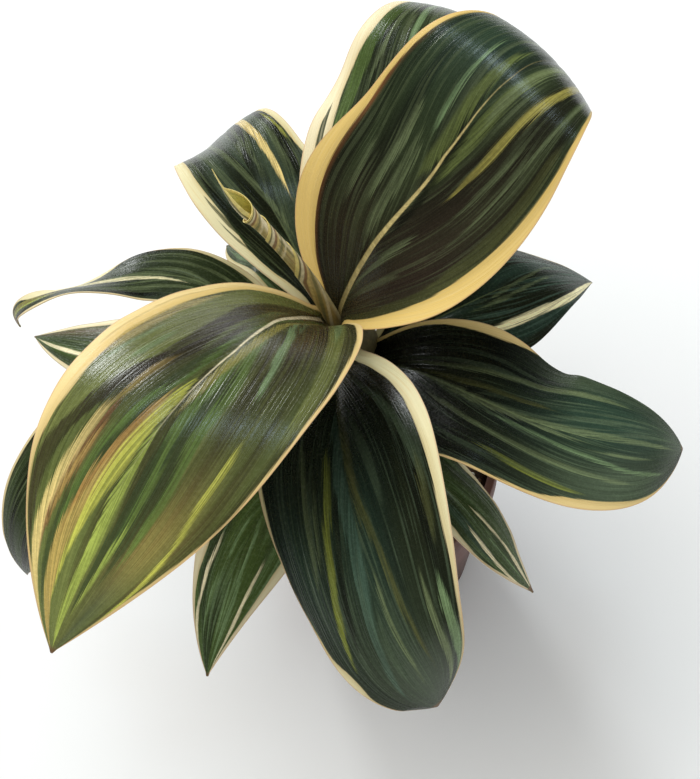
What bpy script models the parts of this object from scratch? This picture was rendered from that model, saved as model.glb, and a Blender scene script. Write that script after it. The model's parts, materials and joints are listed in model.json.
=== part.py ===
"""Potted cordyline: a young variegated plant in a plain tapered pot.

The frame's origin is the centre of the pot's underside and +Z is up.  The object is built in
metres.  Lengths in the tables below are millimetres and angles are degrees, as marked.
"""
import math
from dataclasses import dataclass

import bmesh
import bpy
import numpy as np

MM = 0.001
GAP = 0.3 * MM                  # clearance kept between two pieces that touch

# Pot
POT_HEIGHT = 88 * MM
POT_TOP_RADIUS = 50 * MM
POT_FOOT_RADIUS = 36 * MM
POT_WALL = 2.0 * MM
POT_FLOOR = 2.5 * MM
POT_RIM_DEPTH = 12 * MM
POT_RIM_PROUD = 1.8 * MM
POT_EDGE = 0.8 * MM
POT_SEGMENTS = 48
DRAIN_COUNT = 4
DRAIN_RADIUS = 4 * MM
DRAIN_CIRCLE = 21 * MM

# Soil
SOIL_LEVEL = 78 * MM
SOIL_DOME = 2.0 * MM            # the soil stands a little higher at the stem
SOIL_SEGMENTS = 32

# Stem
STEM_RADIUS = 6.0 * MM
STEM_ROOT_RADIUS = 6.8 * MM
STEM_ROOT_Z = 54 * MM
STEM_TOP_Z = 182 * MM
STEM_SEGMENTS = 24
SCAR_HEIGHTS = (86, 92, 98)     # old leaf scars above the soil, mm
SCAR_PROUD = 0.5 * MM

# Rolled new leaf at the growing tip
SPEAR_AZIMUTH = 172
SPEAR_LEAN = 18
SPEAR_LENGTH = 80 * MM
SPEAR_BASE_RADIUS = 2.2 * MM
SPEAR_THROAT_RADIUS = 3.9 * MM
SPEAR_THROAT_AT = 0.74          # the roll opens into a throat at this share of its length
SPEAR_TIP_RADIUS = 0.4 * MM
SPEAR_RINGS = 14
SPEAR_SEGMENTS = 14

# Leaves
LEAF_THICKNESS = 1.0 * MM
LEAF_SEAT = 0.45 * MM           # from stem to leaf base, so that its facets clear the stem
SHEATH_HALF_WIDTH = 8.0 * MM    # half the girth of the clasping base, along its arc
TIP_HALF_WIDTH = 0.8 * MM
FOLD = (0, 12, 7, 3, 0, 0)      # V of the blade at the midrib, degrees
CAMBER = (75, 38, 4, -10, -14, -10)  # further turn from midrib to margin, degrees
STATIONS = (0.0, 0.25, 0.5, 0.75, 1.0)  # stations along the blade, after the leaf's base
GRID_PER_STATION = 4
GRID_ACROSS = 6
CURVE_STEPS = 240


@dataclass(frozen=True)
class Leaf:
    """One leaf: lengths in millimetres, angles in degrees.

    arch is the midrib's slope above the horizontal, sweep the turn of its heading to the left
    and twist the roll about the midrib, each given at the clasping base, at the end of the
    petiole and at the quarters of the blade.
    """
    name: str
    azimuth: float
    node: float
    petiole: float
    blade: float
    width: float
    arch: tuple
    sweep: tuple
    twist: tuple
    widest: float = 0.42
    shoulder: float = 2.0
    point: float = 2.0


LEAVES = (
    Leaf("leaf_01", azimuth=23, node=180, petiole=6, blade=151, width=69,
         arch=(86, 79, 38, 41, -58, -127), sweep=(0, -3, -9, 11, 5, 0),
         twist=(0, 2, 14, 2, 6, 0), widest=0.31, shoulder=3.1, point=2.3),
    Leaf("leaf_02", azimuth=231, node=174, petiole=12, blade=166, width=69,
         arch=(86, 70, 47, 21, -23, -39), sweep=(0, -2, 3, -1, -4, 3),
         twist=(0, -5, 5, 5, -4, 1), widest=0.47, shoulder=2.2, point=2.2),
    Leaf("leaf_03", azimuth=53, node=168, petiole=13, blade=146, width=59,
         arch=(84, 73, 44, 13, -31, -84), sweep=(0, -1, -7, 4, 10, 2),
         twist=(0, 0, -4, -17, 8, 2), widest=0.42, shoulder=2.0, point=2.1),
    Leaf("leaf_04", azimuth=263, node=161, petiole=17, blade=144, width=55,
         arch=(82, 53, 30, -1, -30, -73), sweep=(0, -2, 3, 6, 16, 70),
         twist=(0, -1, 7, 23, 36, 40), widest=0.51, shoulder=2.1, point=2.7),
    Leaf("leaf_05", azimuth=106, node=156, petiole=18, blade=126, width=46,
         arch=(80, 58, 20, -18, -49, -89), sweep=(0, 2, 3, -3, -6, -3),
         twist=(0, 3, 8, 12, -21, -11), widest=0.4, shoulder=2.1, point=2.0),
    Leaf("leaf_06", azimuth=316, node=150, petiole=12, blade=123, width=56,
         arch=(81, 54, 13, 3, -25, -52), sweep=(0, -2, -1, 4, 34, 66),
         twist=(0, 7, 0, -22, 2, 39), widest=0.43, shoulder=1.7, point=2.1),
    Leaf("leaf_07", azimuth=159, node=144, petiole=23, blade=130, width=43,
         arch=(77, 51, 36, 1, -35, -94), sweep=(0, -2, 0, 12, -8, -18),
         twist=(0, 3, 20, 42, 51, 16), widest=0.42, shoulder=1.9, point=1.8),
    Leaf("leaf_08", azimuth=9, node=138, petiole=16, blade=92, width=49,
         arch=(75, 44, 13, -14, -36, -54), sweep=(0, -2, 1, 12, 8, 3),
         twist=(0, 0, 2, 5, -5, -6), widest=0.41, shoulder=2.0, point=1.5),
    Leaf("leaf_09", azimuth=203, node=132, petiole=23, blade=137, width=46,
         arch=(75, 48, 28, 4, -36, -90), sweep=(0, -2, -4, -2, 5, 14),
         twist=(0, 0, -1, -5, -8, -14), widest=0.43, shoulder=2.0, point=2.1),
    Leaf("leaf_10", azimuth=239, node=122, petiole=22, blade=106, width=37,
         arch=(72, 47, 27, 8, -12, -35), sweep=(0, -1, -3, -4, 0, 10),
         twist=(0, 0, 0, 0, 1, 3), widest=0.41, shoulder=2.0, point=1.8),
    Leaf("leaf_11", azimuth=108, node=116, petiole=20, blade=101, width=34,
         arch=(72, 48, 17, -28, -49, -39), sweep=(0, -5, -9, 6, 20, 23),
         twist=(0, 0, 4, 9, 8, 7), widest=0.53, shoulder=1.8, point=3.0),
    Leaf("leaf_12", azimuth=295, node=110, petiole=19, blade=92, width=27,
         arch=(72, 52, 27, -3, -36, -53), sweep=(0, -2, -1, 8, 6, 14),
         twist=(0, -1, -12, -29, -22, -25), widest=0.42, shoulder=2.0, point=2.0),
    Leaf("leaf_13", azimuth=159, node=104, petiole=21, blade=111, width=36,
         arch=(70, 42, 20, 3, -12, -26), sweep=(0, -1, -1, -4, -9, -19),
         twist=(0, 0, 0, 1, 2, 1), widest=0.42, shoulder=2.0, point=2.0),
)


def along(keys, u):
    """Smooth curve through equally spaced keys; u runs from 0 to the last key's index."""
    keys = np.asarray(keys, float)
    ends = (2 * keys[0] - keys[1], 2 * keys[-1] - keys[-2])
    padded = np.concatenate([ends[:1], keys, ends[1:]])
    index = np.minimum(np.asarray(u, float).astype(int), len(keys) - 2)
    t = u - index
    a, b, c, d = (padded[index + k] for k in range(4))
    return 0.5 * (2 * b + (c - a) * t + (2 * a - 5 * b + 4 * c - d) * t ** 2
                  + (3 * b - a - 3 * c + d) * t ** 3)


def half_width(leaf, t):
    """Half the leaf's width along its arc at share t of the blade, in metres."""
    rise = 1 - np.clip(1 - t / leaf.widest, 0, 1) ** leaf.shoulder
    fall = 1 - np.clip((t - leaf.widest) / (1 - leaf.widest), 0, 1) ** leaf.point
    blade = leaf.width / 2 * MM * np.where(t < leaf.widest, rise, fall)
    base = SHEATH_HALF_WIDTH * (1 - np.clip(t / 0.4, 0, 1))
    return np.maximum(np.hypot(blade, base), TIP_HALF_WIDTH)


def leaf_surface(leaf, u_rows, x_columns):
    """Points of the leaf's upper face, rows along the leaf and columns from right to left."""
    petiole = leaf.petiole * MM
    blade = leaf.blade * MM
    marks = np.array([0.0] + [petiole + q * blade for q in STATIONS])
    length = np.linspace(0, marks[-1], CURVE_STEPS + 1)
    u = np.interp(length, marks, np.arange(len(marks)))
    slope = np.radians(along(leaf.arch, u))
    heading = np.radians(leaf.azimuth + along(leaf.sweep, u))
    roll = np.radians(along(leaf.twist, u))
    ahead = np.stack([np.cos(slope) * np.cos(heading),
                      np.cos(slope) * np.sin(heading), np.sin(slope)], -1)
    level = np.stack([-np.sin(heading), np.cos(heading), 0 * heading], -1)
    above = np.cross(ahead, level)
    turn = np.cos(roll)[:, None]
    lift = np.sin(roll)[:, None]
    left = turn * level + lift * above
    up = turn * above - lift * level
    bearing = math.radians(leaf.azimuth)
    reach = STEM_RADIUS + LEAF_SEAT
    start = np.array([reach * math.cos(bearing), reach * math.sin(bearing), leaf.node * MM])
    steps = (ahead[1:] + ahead[:-1]) / 2 * (length[1] - length[0])
    midrib = np.concatenate([start[None], start + np.cumsum(steps, 0)])
    width = half_width(leaf, np.clip((length - petiole) / blade, 0, 1))
    fold = np.radians(along(FOLD, u))
    camber = np.radians(along(CAMBER, u))

    rows = np.interp(u_rows, u, length)

    def at(values):
        return np.interp(rows, length, values)

    shares = (np.arange(12) + 0.5) / 12
    surface = np.empty((len(rows), len(x_columns), 3))
    for column, x in enumerate(x_columns):
        angle = fold[:, None] + camber[:, None] * (shares * abs(x))[None]
        across = np.cos(angle).mean(1) * x * width
        rise = np.sin(angle).mean(1) * abs(x) * width
        points = midrib + across[:, None] * left + rise[:, None] * up
        for axis in range(3):
            surface[:, column, axis] = at(points[:, axis])
    return surface


def new_object(name, bm, colour, roughness, collection):
    """Turn a bmesh into a named object with its own material."""
    mesh = bpy.data.meshes.new(name)
    bm.to_mesh(mesh)
    bm.free()
    obj = bpy.data.objects.new(name, mesh)
    collection.objects.link(obj)
    give_material(obj, colour, roughness)
    return obj


def give_material(obj, colour, roughness):
    """Give the object a Principled material of its own."""
    material = bpy.data.materials.new(obj.name)
    material.use_nodes = True
    shader = material.node_tree.nodes["Principled BSDF"]
    shader.inputs["Base Color"].default_value = (*colour, 1.0)
    shader.inputs["Roughness"].default_value = roughness
    shader.inputs["Metallic"].default_value = 0.0
    obj.data.materials.append(material)


def turned(name, profile, segments, colour, roughness, collection):
    """Turn a profile of (radius, height) points, outer side first, about the Z axis."""
    bm = bmesh.new()
    closed = profile[0] == profile[-1]
    points = profile[:-1] if closed else profile
    verts = [bm.verts.new((radius, 0.0, height)) for radius, height in points]
    if closed:
        verts.append(verts[0])
    for upper, lower in zip(verts, verts[1:]):
        bm.edges.new((upper, lower))
    obj = new_object(name, bm, colour, roughness, collection)
    screw = obj.modifiers.new("Screw", "SCREW")
    screw.axis = "Z"
    screw.steps = segments
    screw.render_steps = segments
    screw.use_merge_vertices = True
    screw.merge_threshold = 0.00001
    return obj


def build_pot(collection, cutters):
    """The tapered pot with its rim band and four drainage holes."""
    slope = (POT_TOP_RADIUS - POT_RIM_PROUD - POT_FOOT_RADIUS) / (POT_HEIGHT - POT_RIM_DEPTH)

    def outer(z):
        return POT_FOOT_RADIUS + slope * z

    band_z = POT_HEIGHT - POT_RIM_DEPTH
    inner_top = POT_TOP_RADIUS - POT_WALL - POT_RIM_PROUD * 0.6
    inner_floor = outer(POT_FLOOR) - POT_WALL
    profile = [
        (inner_top + POT_EDGE, POT_HEIGHT),
        (POT_TOP_RADIUS - POT_EDGE, POT_HEIGHT),
        (POT_TOP_RADIUS, POT_HEIGHT - POT_EDGE),
        (POT_TOP_RADIUS - 0.4 * MM, band_z + POT_EDGE),
        (POT_TOP_RADIUS - 0.4 * MM - POT_EDGE, band_z),
        (outer(band_z), band_z),
        (outer(POT_EDGE * 2), POT_EDGE * 2),
        (POT_FOOT_RADIUS - POT_EDGE, 0.0),
        (0.0, 0.0),
        (0.0, POT_FLOOR),
        (inner_floor, POT_FLOOR),
        (outer(band_z) - POT_WALL, band_z - POT_WALL),
        (inner_top, POT_HEIGHT - POT_EDGE),
        (inner_top + POT_EDGE, POT_HEIGHT),
    ]
    pot = turned("pot", profile, POT_SEGMENTS, (0.23, 0.085, 0.045), 0.55, collection)
    for index in range(DRAIN_COUNT):
        turn = math.tau * (index + 0.5) / DRAIN_COUNT
        bm = bmesh.new()
        bmesh.ops.create_cone(bm, cap_ends=True, segments=16, radius1=DRAIN_RADIUS,
                              radius2=DRAIN_RADIUS, depth=POT_FLOOR * 4)
        cutter = new_object(f"drain_cutter_{index + 1}", bm, (0.5, 0.5, 0.5), 0.5, cutters)
        cutter.location = (DRAIN_CIRCLE * math.cos(turn), DRAIN_CIRCLE * math.sin(turn), 0.0)
        cutter.hide_render = True
        cutter.display_type = "WIRE"
        cut = pot.modifiers.new(f"Drain {index + 1}", "BOOLEAN")
        cut.operation = "DIFFERENCE"
        cut.solver = "EXACT"
        cut.object = cutter
    return pot


def build_soil(collection):
    """The soil ball, with a socket in which the stem stands."""
    slope = (POT_TOP_RADIUS - POT_RIM_PROUD - POT_FOOT_RADIUS) / (POT_HEIGHT - POT_RIM_DEPTH)

    def side(z):
        return POT_FOOT_RADIUS + slope * z - POT_WALL - GAP

    low = POT_FLOOR + GAP
    shoulder = POT_HEIGHT - POT_RIM_DEPTH - POT_WALL
    socket = STEM_ROOT_RADIUS + GAP
    profile = [
        (socket, SOIL_LEVEL + SOIL_DOME),
        (socket + 9 * MM, SOIL_LEVEL + SOIL_DOME * 0.8),
        (side(shoulder) * 0.7, SOIL_LEVEL + SOIL_DOME * 0.2),
        (side(shoulder) - 1.2 * MM, SOIL_LEVEL - 1.2 * MM),
        (side(shoulder), shoulder),
        (side(low), low),
        (0.0, low),
        (0.0, STEM_ROOT_Z - GAP),
        (socket, STEM_ROOT_Z - GAP),
        (socket, SOIL_LEVEL + SOIL_DOME),
    ]
    return turned("soil", profile, SOIL_SEGMENTS, (0.035, 0.022, 0.014), 0.95, collection)


def build_stem(collection):
    """The upright cane, ringed by the scars of leaves that have dropped."""
    profile = [(0.0, STEM_TOP_Z), (STEM_RADIUS * 0.6, STEM_TOP_Z - 0.6 * MM),
               (STEM_RADIUS, STEM_TOP_Z - 4 * MM)]
    for height in sorted(SCAR_HEIGHTS, reverse=True):
        z = height * MM
        profile += [(STEM_RADIUS, z + 1.2 * MM), (STEM_RADIUS + SCAR_PROUD, z),
                    (STEM_RADIUS, z - 1.0 * MM)]
    profile += [(STEM_ROOT_RADIUS, SOIL_LEVEL + SOIL_DOME), (STEM_ROOT_RADIUS, STEM_ROOT_Z),
                (0.0, STEM_ROOT_Z)]
    return turned("stem", profile, STEM_SEGMENTS, (0.20, 0.17, 0.09), 0.6, collection)


def build_spear(collection):
    """The youngest leaf, still rolled into a slim leaning spear."""
    bm = bmesh.new()
    bmesh.ops.create_cone(bm, cap_ends=True, segments=SPEAR_SEGMENTS, radius1=1.0,
                          radius2=1.0, depth=1.0)
    sides = [edge for edge in bm.edges
             if abs(edge.verts[0].co.z - edge.verts[1].co.z) > 0.5]
    bmesh.ops.subdivide_edges(bm, edges=sides, cuts=SPEAR_RINGS - 1, use_grid_fill=False)
    lean = math.radians(SPEAR_LEAN)
    turn = math.radians(SPEAR_AZIMUTH)
    for vert in bm.verts:
        t = vert.co.z + 0.5
        if t < SPEAR_THROAT_AT:
            grow = (t / SPEAR_THROAT_AT) ** 1.3
            radius = SPEAR_BASE_RADIUS + (SPEAR_THROAT_RADIUS - SPEAR_BASE_RADIUS) * grow
        else:
            fade = (t - SPEAR_THROAT_AT) / (1 - SPEAR_THROAT_AT)
            radius = SPEAR_THROAT_RADIUS * (1 - fade) ** 0.8
            radius = max(radius, SPEAR_TIP_RADIUS)
        bow = lean * (0.55 + 0.45 * t)
        out = SPEAR_LENGTH * t * math.sin(bow)
        x = vert.co.x * radius + out * math.cos(turn)
        y = vert.co.y * radius + out * math.sin(turn)
        z = STEM_TOP_Z + GAP + SPEAR_LENGTH * t * math.cos(bow)
        vert.co = (x, y, z)
    return new_object("new_leaf", bm, (0.62, 0.56, 0.30), 0.45, collection)


def build_leaf(leaf, collection):
    """One leaf: an upper face shaped from a grid, thickened downward."""
    rows = GRID_PER_STATION * len(STATIONS)
    bm = bmesh.new()
    bmesh.ops.create_grid(bm, x_segments=rows, y_segments=GRID_ACROSS, size=0.5)
    u_rows = np.linspace(0, len(STATIONS), rows + 1)
    x_columns = np.linspace(-1, 1, GRID_ACROSS + 1)
    surface = leaf_surface(leaf, u_rows, x_columns)
    for vert in bm.verts:
        row = round((vert.co.x + 0.5) * rows)
        column = round((vert.co.y + 0.5) * GRID_ACROSS)
        vert.co = surface[row, column]
    obj = new_object(leaf.name, bm, (0.035, 0.055, 0.03), 0.4, collection)
    shell = obj.modifiers.new("Solidify", "SOLIDIFY")
    shell.thickness = LEAF_THICKNESS
    shell.offset = -1.0
    obj.data.shade_smooth()
    return obj


def clear_scene():
    """Remove what the scene holds at the start."""
    for obj in list(bpy.data.objects):
        bpy.data.objects.remove(obj, do_unlink=True)


def main():
    """Build the plant and its pot."""
    clear_scene()
    plant = bpy.data.collections.new("potted_cordyline")
    cutters = bpy.data.collections.new("cutters")
    bpy.context.scene.collection.children.link(plant)
    bpy.context.scene.collection.children.link(cutters)
    build_pot(plant, cutters)
    build_soil(plant)
    build_stem(plant)
    build_spear(plant)
    for leaf in LEAVES:
        build_leaf(leaf, plant)


main()
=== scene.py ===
"""Looks of the potted cordyline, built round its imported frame.

Lengths in the tables are millimetres and angles are degrees; every mesh is in metres.  A place
on a leaf is given by two shares: along, 0 where the blade starts and 1 at its tip, and across,
1 at the left edge and -1 at the right edge, as seen from the stem.
"""

import json
import logging
import math
from collections.abc import Callable, Iterator, Sequence
from contextlib import contextmanager
from dataclasses import dataclass
from enum import Enum

import bmesh
import bpy
import numpy as np
from mathutils import Matrix, Vector

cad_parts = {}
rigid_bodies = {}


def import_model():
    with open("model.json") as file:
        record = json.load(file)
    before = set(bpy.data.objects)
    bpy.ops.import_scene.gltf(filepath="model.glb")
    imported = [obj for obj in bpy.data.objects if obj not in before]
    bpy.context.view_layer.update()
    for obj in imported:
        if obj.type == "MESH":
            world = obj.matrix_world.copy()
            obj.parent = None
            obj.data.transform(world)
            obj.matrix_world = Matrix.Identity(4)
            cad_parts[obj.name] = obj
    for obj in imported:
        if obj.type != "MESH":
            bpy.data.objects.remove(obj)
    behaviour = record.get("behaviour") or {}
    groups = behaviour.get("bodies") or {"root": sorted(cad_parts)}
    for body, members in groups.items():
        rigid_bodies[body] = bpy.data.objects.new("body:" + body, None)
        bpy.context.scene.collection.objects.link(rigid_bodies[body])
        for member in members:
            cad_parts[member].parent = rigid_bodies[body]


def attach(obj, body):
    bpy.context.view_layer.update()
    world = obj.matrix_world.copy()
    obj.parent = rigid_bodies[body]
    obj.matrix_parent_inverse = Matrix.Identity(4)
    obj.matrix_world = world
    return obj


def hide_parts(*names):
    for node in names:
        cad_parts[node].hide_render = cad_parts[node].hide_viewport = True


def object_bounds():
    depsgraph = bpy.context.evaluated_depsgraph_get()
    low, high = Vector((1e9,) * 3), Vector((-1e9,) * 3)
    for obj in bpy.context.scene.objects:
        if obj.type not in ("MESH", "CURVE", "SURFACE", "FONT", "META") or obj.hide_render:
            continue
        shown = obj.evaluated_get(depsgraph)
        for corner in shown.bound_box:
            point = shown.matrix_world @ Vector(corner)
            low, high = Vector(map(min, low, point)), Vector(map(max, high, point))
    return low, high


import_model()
CAD_BOX = [list(corner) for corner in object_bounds()]

LOG = logging.getLogger("cordyline")
MM = 0.001

# What all the leaves share
STEM_RADIUS = 6.0
LEAF_SEAT = 0.45
SHEATH_HALF_WIDTH = 8.0
FOLD = (0, 12, 7, 3, 0, 0)
CAMBER = (75, 38, 4, -10, -14, -10)
QUARTERS = (0.0, 0.25, 0.5, 0.75, 1.0)
CURVE_STEPS = 240
CAMBER_STEPS = 12

Point = tuple[float, float, float]
Keys = tuple[tuple[float, float], ...]
Path = tuple[Point, ...]


class Tone(Enum):
    """A colour of the plant, its pot or its soil, in screen values from 0 to 255."""
    CREAM = (236, 208, 140)
    PALE_CREAM = (224, 214, 168)
    HONEY = (232, 197, 110)
    GOLD = (214, 180, 96)
    LIME = (178, 178, 76)
    MOSS = (112, 118, 44)
    OLIVE = (88, 98, 50)
    DARK_OLIVE = (62, 64, 34)
    LEAF_GREEN = (86, 108, 50)
    PALE_GREEN = (118, 142, 98)
    GREY_GREEN = (90, 100, 68)
    SLATE = (62, 74, 55)
    BLUE_GREY = (68, 90, 76)
    FOREST = (50, 61, 35)
    BLUE_GREEN = (36, 54, 43)
    DEEP = (24, 28, 15)
    BLACK_GREEN = (13, 15, 8)
    COCOA = (40, 31, 23)
    GRASS = (110, 116, 62)
    SPRING = (146, 160, 72)
    BRASS = (136, 128, 62)
    KHAKI = (188, 170, 112)
    OCHRE = (178, 150, 82)
    SAND = (224, 198, 126)
    BUTTER = (240, 222, 140)
    UMBER = (92, 66, 42)
    RUST = (128, 74, 40)
    BLUSH = (206, 158, 122)
    IVORY = (240, 226, 186)
    HUSK = (120, 92, 60)
    UNDERSIDE = (112, 126, 92)
    BARK = (96, 84, 58)
    CANE_GREEN = (104, 112, 66)
    TERRACOTTA = (94, 44, 31)
    CLAY_SHADE = (70, 31, 22)
    CLAY_BLOOM = (138, 90, 70)
    PEAT = (44, 30, 21)
    PEAT_LIGHT = (84, 60, 42)
    CHIP = (106, 72, 46)
    PERLITE = (226, 222, 210)
    FLOOR = (250, 250, 249)

    def linear(self) -> tuple[float, ...]:
        """Give the colour as linear values with full alpha."""
        shares = [value / 255 for value in self.value]
        return (*(s / 12.92 if s <= 0.04045 else ((s + 0.055) / 1.055) ** 2.4 for s in shares), 1.0)


class Side(Enum):
    """Which half of a leaf, as the sign of its across share."""
    LEFT = 1
    RIGHT = -1


# Node trees

class Value:
    """One output in a node tree; arithmetic on it adds Math nodes."""

    def __init__(self, recipe: "Recipe", socket: bpy.types.NodeSocket) -> None:
        """Hold an output together with the recipe that made it."""
        self.recipe = recipe
        self.socket = socket

    def __add__(self, other: "Value | float") -> "Value":
        """Add another value."""
        return self.recipe.math("ADD", self, other)

    def __mul__(self, other: "Value | float") -> "Value":
        """Multiply by another value."""
        return self.recipe.math("MULTIPLY", self, other)

    def __sub__(self, other: "Value | float") -> "Value":
        """Take another value away."""
        return self.recipe.math("SUBTRACT", self, other)

    def __truediv__(self, other: "Value | float") -> "Value":
        """Divide by another value."""
        return self.recipe.math("DIVIDE", self, other)

    def __abs__(self) -> "Value":
        """Drop the sign."""
        return self.recipe.math("ABSOLUTE", self)

    def span(self, low: "Value | float", high: "Value | float", start: float = 0.0,
             end: float = 1.0) -> "Value":
        """Ease smoothly from one range to another.

        Args:
            low: where the change begins.
            high: where it is complete.
            start: the result up to low.
            end: the result from high on.

        Returns:
            The eased number.
        """
        given = dict(enumerate((self, low, high, start, end)))
        return self.recipe.add("MapRange", 0, given, interpolation_type="SMOOTHSTEP")


Given = Value | Tone | float | Sequence[float]


class Recipe:
    """Short calls for building a node tree, a material's or a group's."""

    def __init__(self, tree: bpy.types.NodeTree) -> None:
        """Start on a tree."""
        self.tree = tree

    def feed(self, socket: bpy.types.NodeSocket, value: Given) -> None:
        """Link an input to a value, or give it a constant.

        Args:
            socket: the input.
            value: what goes in.
        """
        if isinstance(value, Value):
            self.tree.links.new(value.socket, socket)
        else:
            socket.default_value = value.linear() if isinstance(value, Tone) else value

    def add(self, kind: str, output: int | str = 0, inputs: dict[int | str, Given] | None = None,
            **settings: object) -> Value:
        """Add a node.

        Args:
            kind: the node's class name without its leading words.
            output: which output to give.
            inputs: what goes into its inputs, by their name or number.
            settings: attributes to set on it.

        Returns:
            The chosen output.
        """
        node = self.tree.nodes.new("ShaderNode" + kind)
        for name, value in settings.items():
            setattr(node, name, value)
        for name, value in (inputs or {}).items():
            self.feed(node.inputs[name], value)
        return Value(self, node.outputs[output])

    def math(self, operation: str, *values: Given, clamp: bool = False) -> Value:
        """Combine numbers.

        Args:
            operation: the Math node's operation.
            values: its inputs in order.
            clamp: keep the result between 0 and 1.

        Returns:
            The result.
        """
        return self.add("Math", 0, dict(enumerate(values)), operation=operation, use_clamp=clamp)

    def mix(self, share: Given, first: Given, second: Given) -> Value:
        """Mix two colours.

        Args:
            share: how much of the second.
            first: the colour underneath.
            second: the colour on top.

        Returns:
            The mixed colour.
        """
        return self.add("Mix", 2, {0: share, 6: first, 7: second}, data_type="RGBA")

    def parts(self, vector: Value) -> list[Value]:
        """Take a vector apart into its three numbers."""
        node = self.add("SeparateXYZ", 0, {0: vector}).socket.node
        return [Value(self, socket) for socket in node.outputs]

    def stored(self, name: str, output: str = "Vector") -> Value:
        """Read an attribute that the piece's vertices carry."""
        return self.add("Attribute", output, attribute_name=name)

    def place(self) -> Value:
        """Give the place on the piece, in metres."""
        return self.add("TexCoord", "Object")

    def noise(self, place: Value, scale: Given, detail: float = 2.0, rough: float = 0.5) -> Value:
        """Sample a smooth noise.

        Args:
            place: where to sample it.
            scale: how fine it is; three numbers draw it out along an axis.
            detail: how many finer layers it has.
            rough: how strong those are.

        Returns:
            A number round 0.5.
        """
        if isinstance(scale, tuple):
            place = self.add("Mapping", 0, {"Vector": place, "Scale": scale})
            scale = 1.0
        return self.add("TexNoise", "Fac", {"Vector": place, "Scale": scale, "Detail": detail,
                                            "Roughness": rough})

    def curve(self, value: Value, keys: Keys, straight: bool = False) -> Value:
        """Read a curve through some keys.

        Args:
            value: where to read it, from 0 to 1.
            keys: the curve's (place, height) points in percent.
            straight: join the keys with straight lines.

        Returns:
            The curve's height.
        """
        result = self.add("FloatCurve", 0, {"Value": value})
        mapping = result.socket.node.mapping
        mapping.use_clip = False
        points = mapping.curves[0].points
        while len(points) < len(keys):
            points.new(0.5, 0.5)
        for point, key in zip(points, keys):
            point.location = (key[0] / 100, key[1] / 100)
            point.handle_type = "VECTOR" if straight else "AUTO"
        mapping.extend = "HORIZONTAL"
        mapping.update()
        return result

    def group(self, tree: bpy.types.NodeTree, **values: Given) -> dict[str, Value]:
        """Place a node group.

        Args:
            tree: the group.
            values: its inputs, with _ for a blank in a name.

        Returns:
            Its outputs by their names.
        """
        inputs = {name.replace("_", " "): value for name, value in values.items()}
        node = self.add("Group", 0, inputs, node_tree=tree).socket.node
        return {socket.name: Value(self, socket) for socket in node.outputs}

    def brighten(self, colour: Value, gain: Value) -> Value:
        """Make a colour lighter or darker."""
        return self.add("HueSaturation", 0, {"Value": gain, "Color": colour})

    def finish(self, colour: Value, rough: Value, height: Value, depth: float,
               strength: float) -> None:
        """Feed the material's Principled shader.

        Args:
            colour: its base colour.
            rough: its roughness.
            height: the relief that tilts its normal.
            depth: how deep that relief is, in metres.
            strength: how much of it counts.
        """
        relief = {"Strength": strength, "Distance": depth, "Height": height}
        shader = self.tree.nodes["Principled BSDF"]
        self.feed(shader.inputs["Base Color"], colour)
        self.feed(shader.inputs["Roughness"], rough)
        self.feed(shader.inputs["Normal"], self.add("Bump", 0, relief))


@dataclass(frozen=True)
class VeinLayer:
    """One layer of noise drawn out along a leaf's veins, and the levels it rises between."""
    across: float
    lengthwise: float
    shift: float
    detail: float = 1.0
    levels: tuple[float, float] | None = None


VEIN_LAYERS = {
    "Bands": VeinLayer(1.1, 1.6, 0.0, levels=(0.42, 0.60)),
    "Streaks": VeinLayer(3.6, 3.2, 7.3, levels=(0.56, 0.68)),
    "Lines": VeinLayer(9.0, 4.5, 15.1, levels=(0.53, 0.70)),
    "Threads": VeinLayer(24.0, 7.0, 21.7, 2.0, (0.35, 0.65)),
    "Ridge": VeinLayer(16.0, 2.0, 31.9),
}


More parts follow.
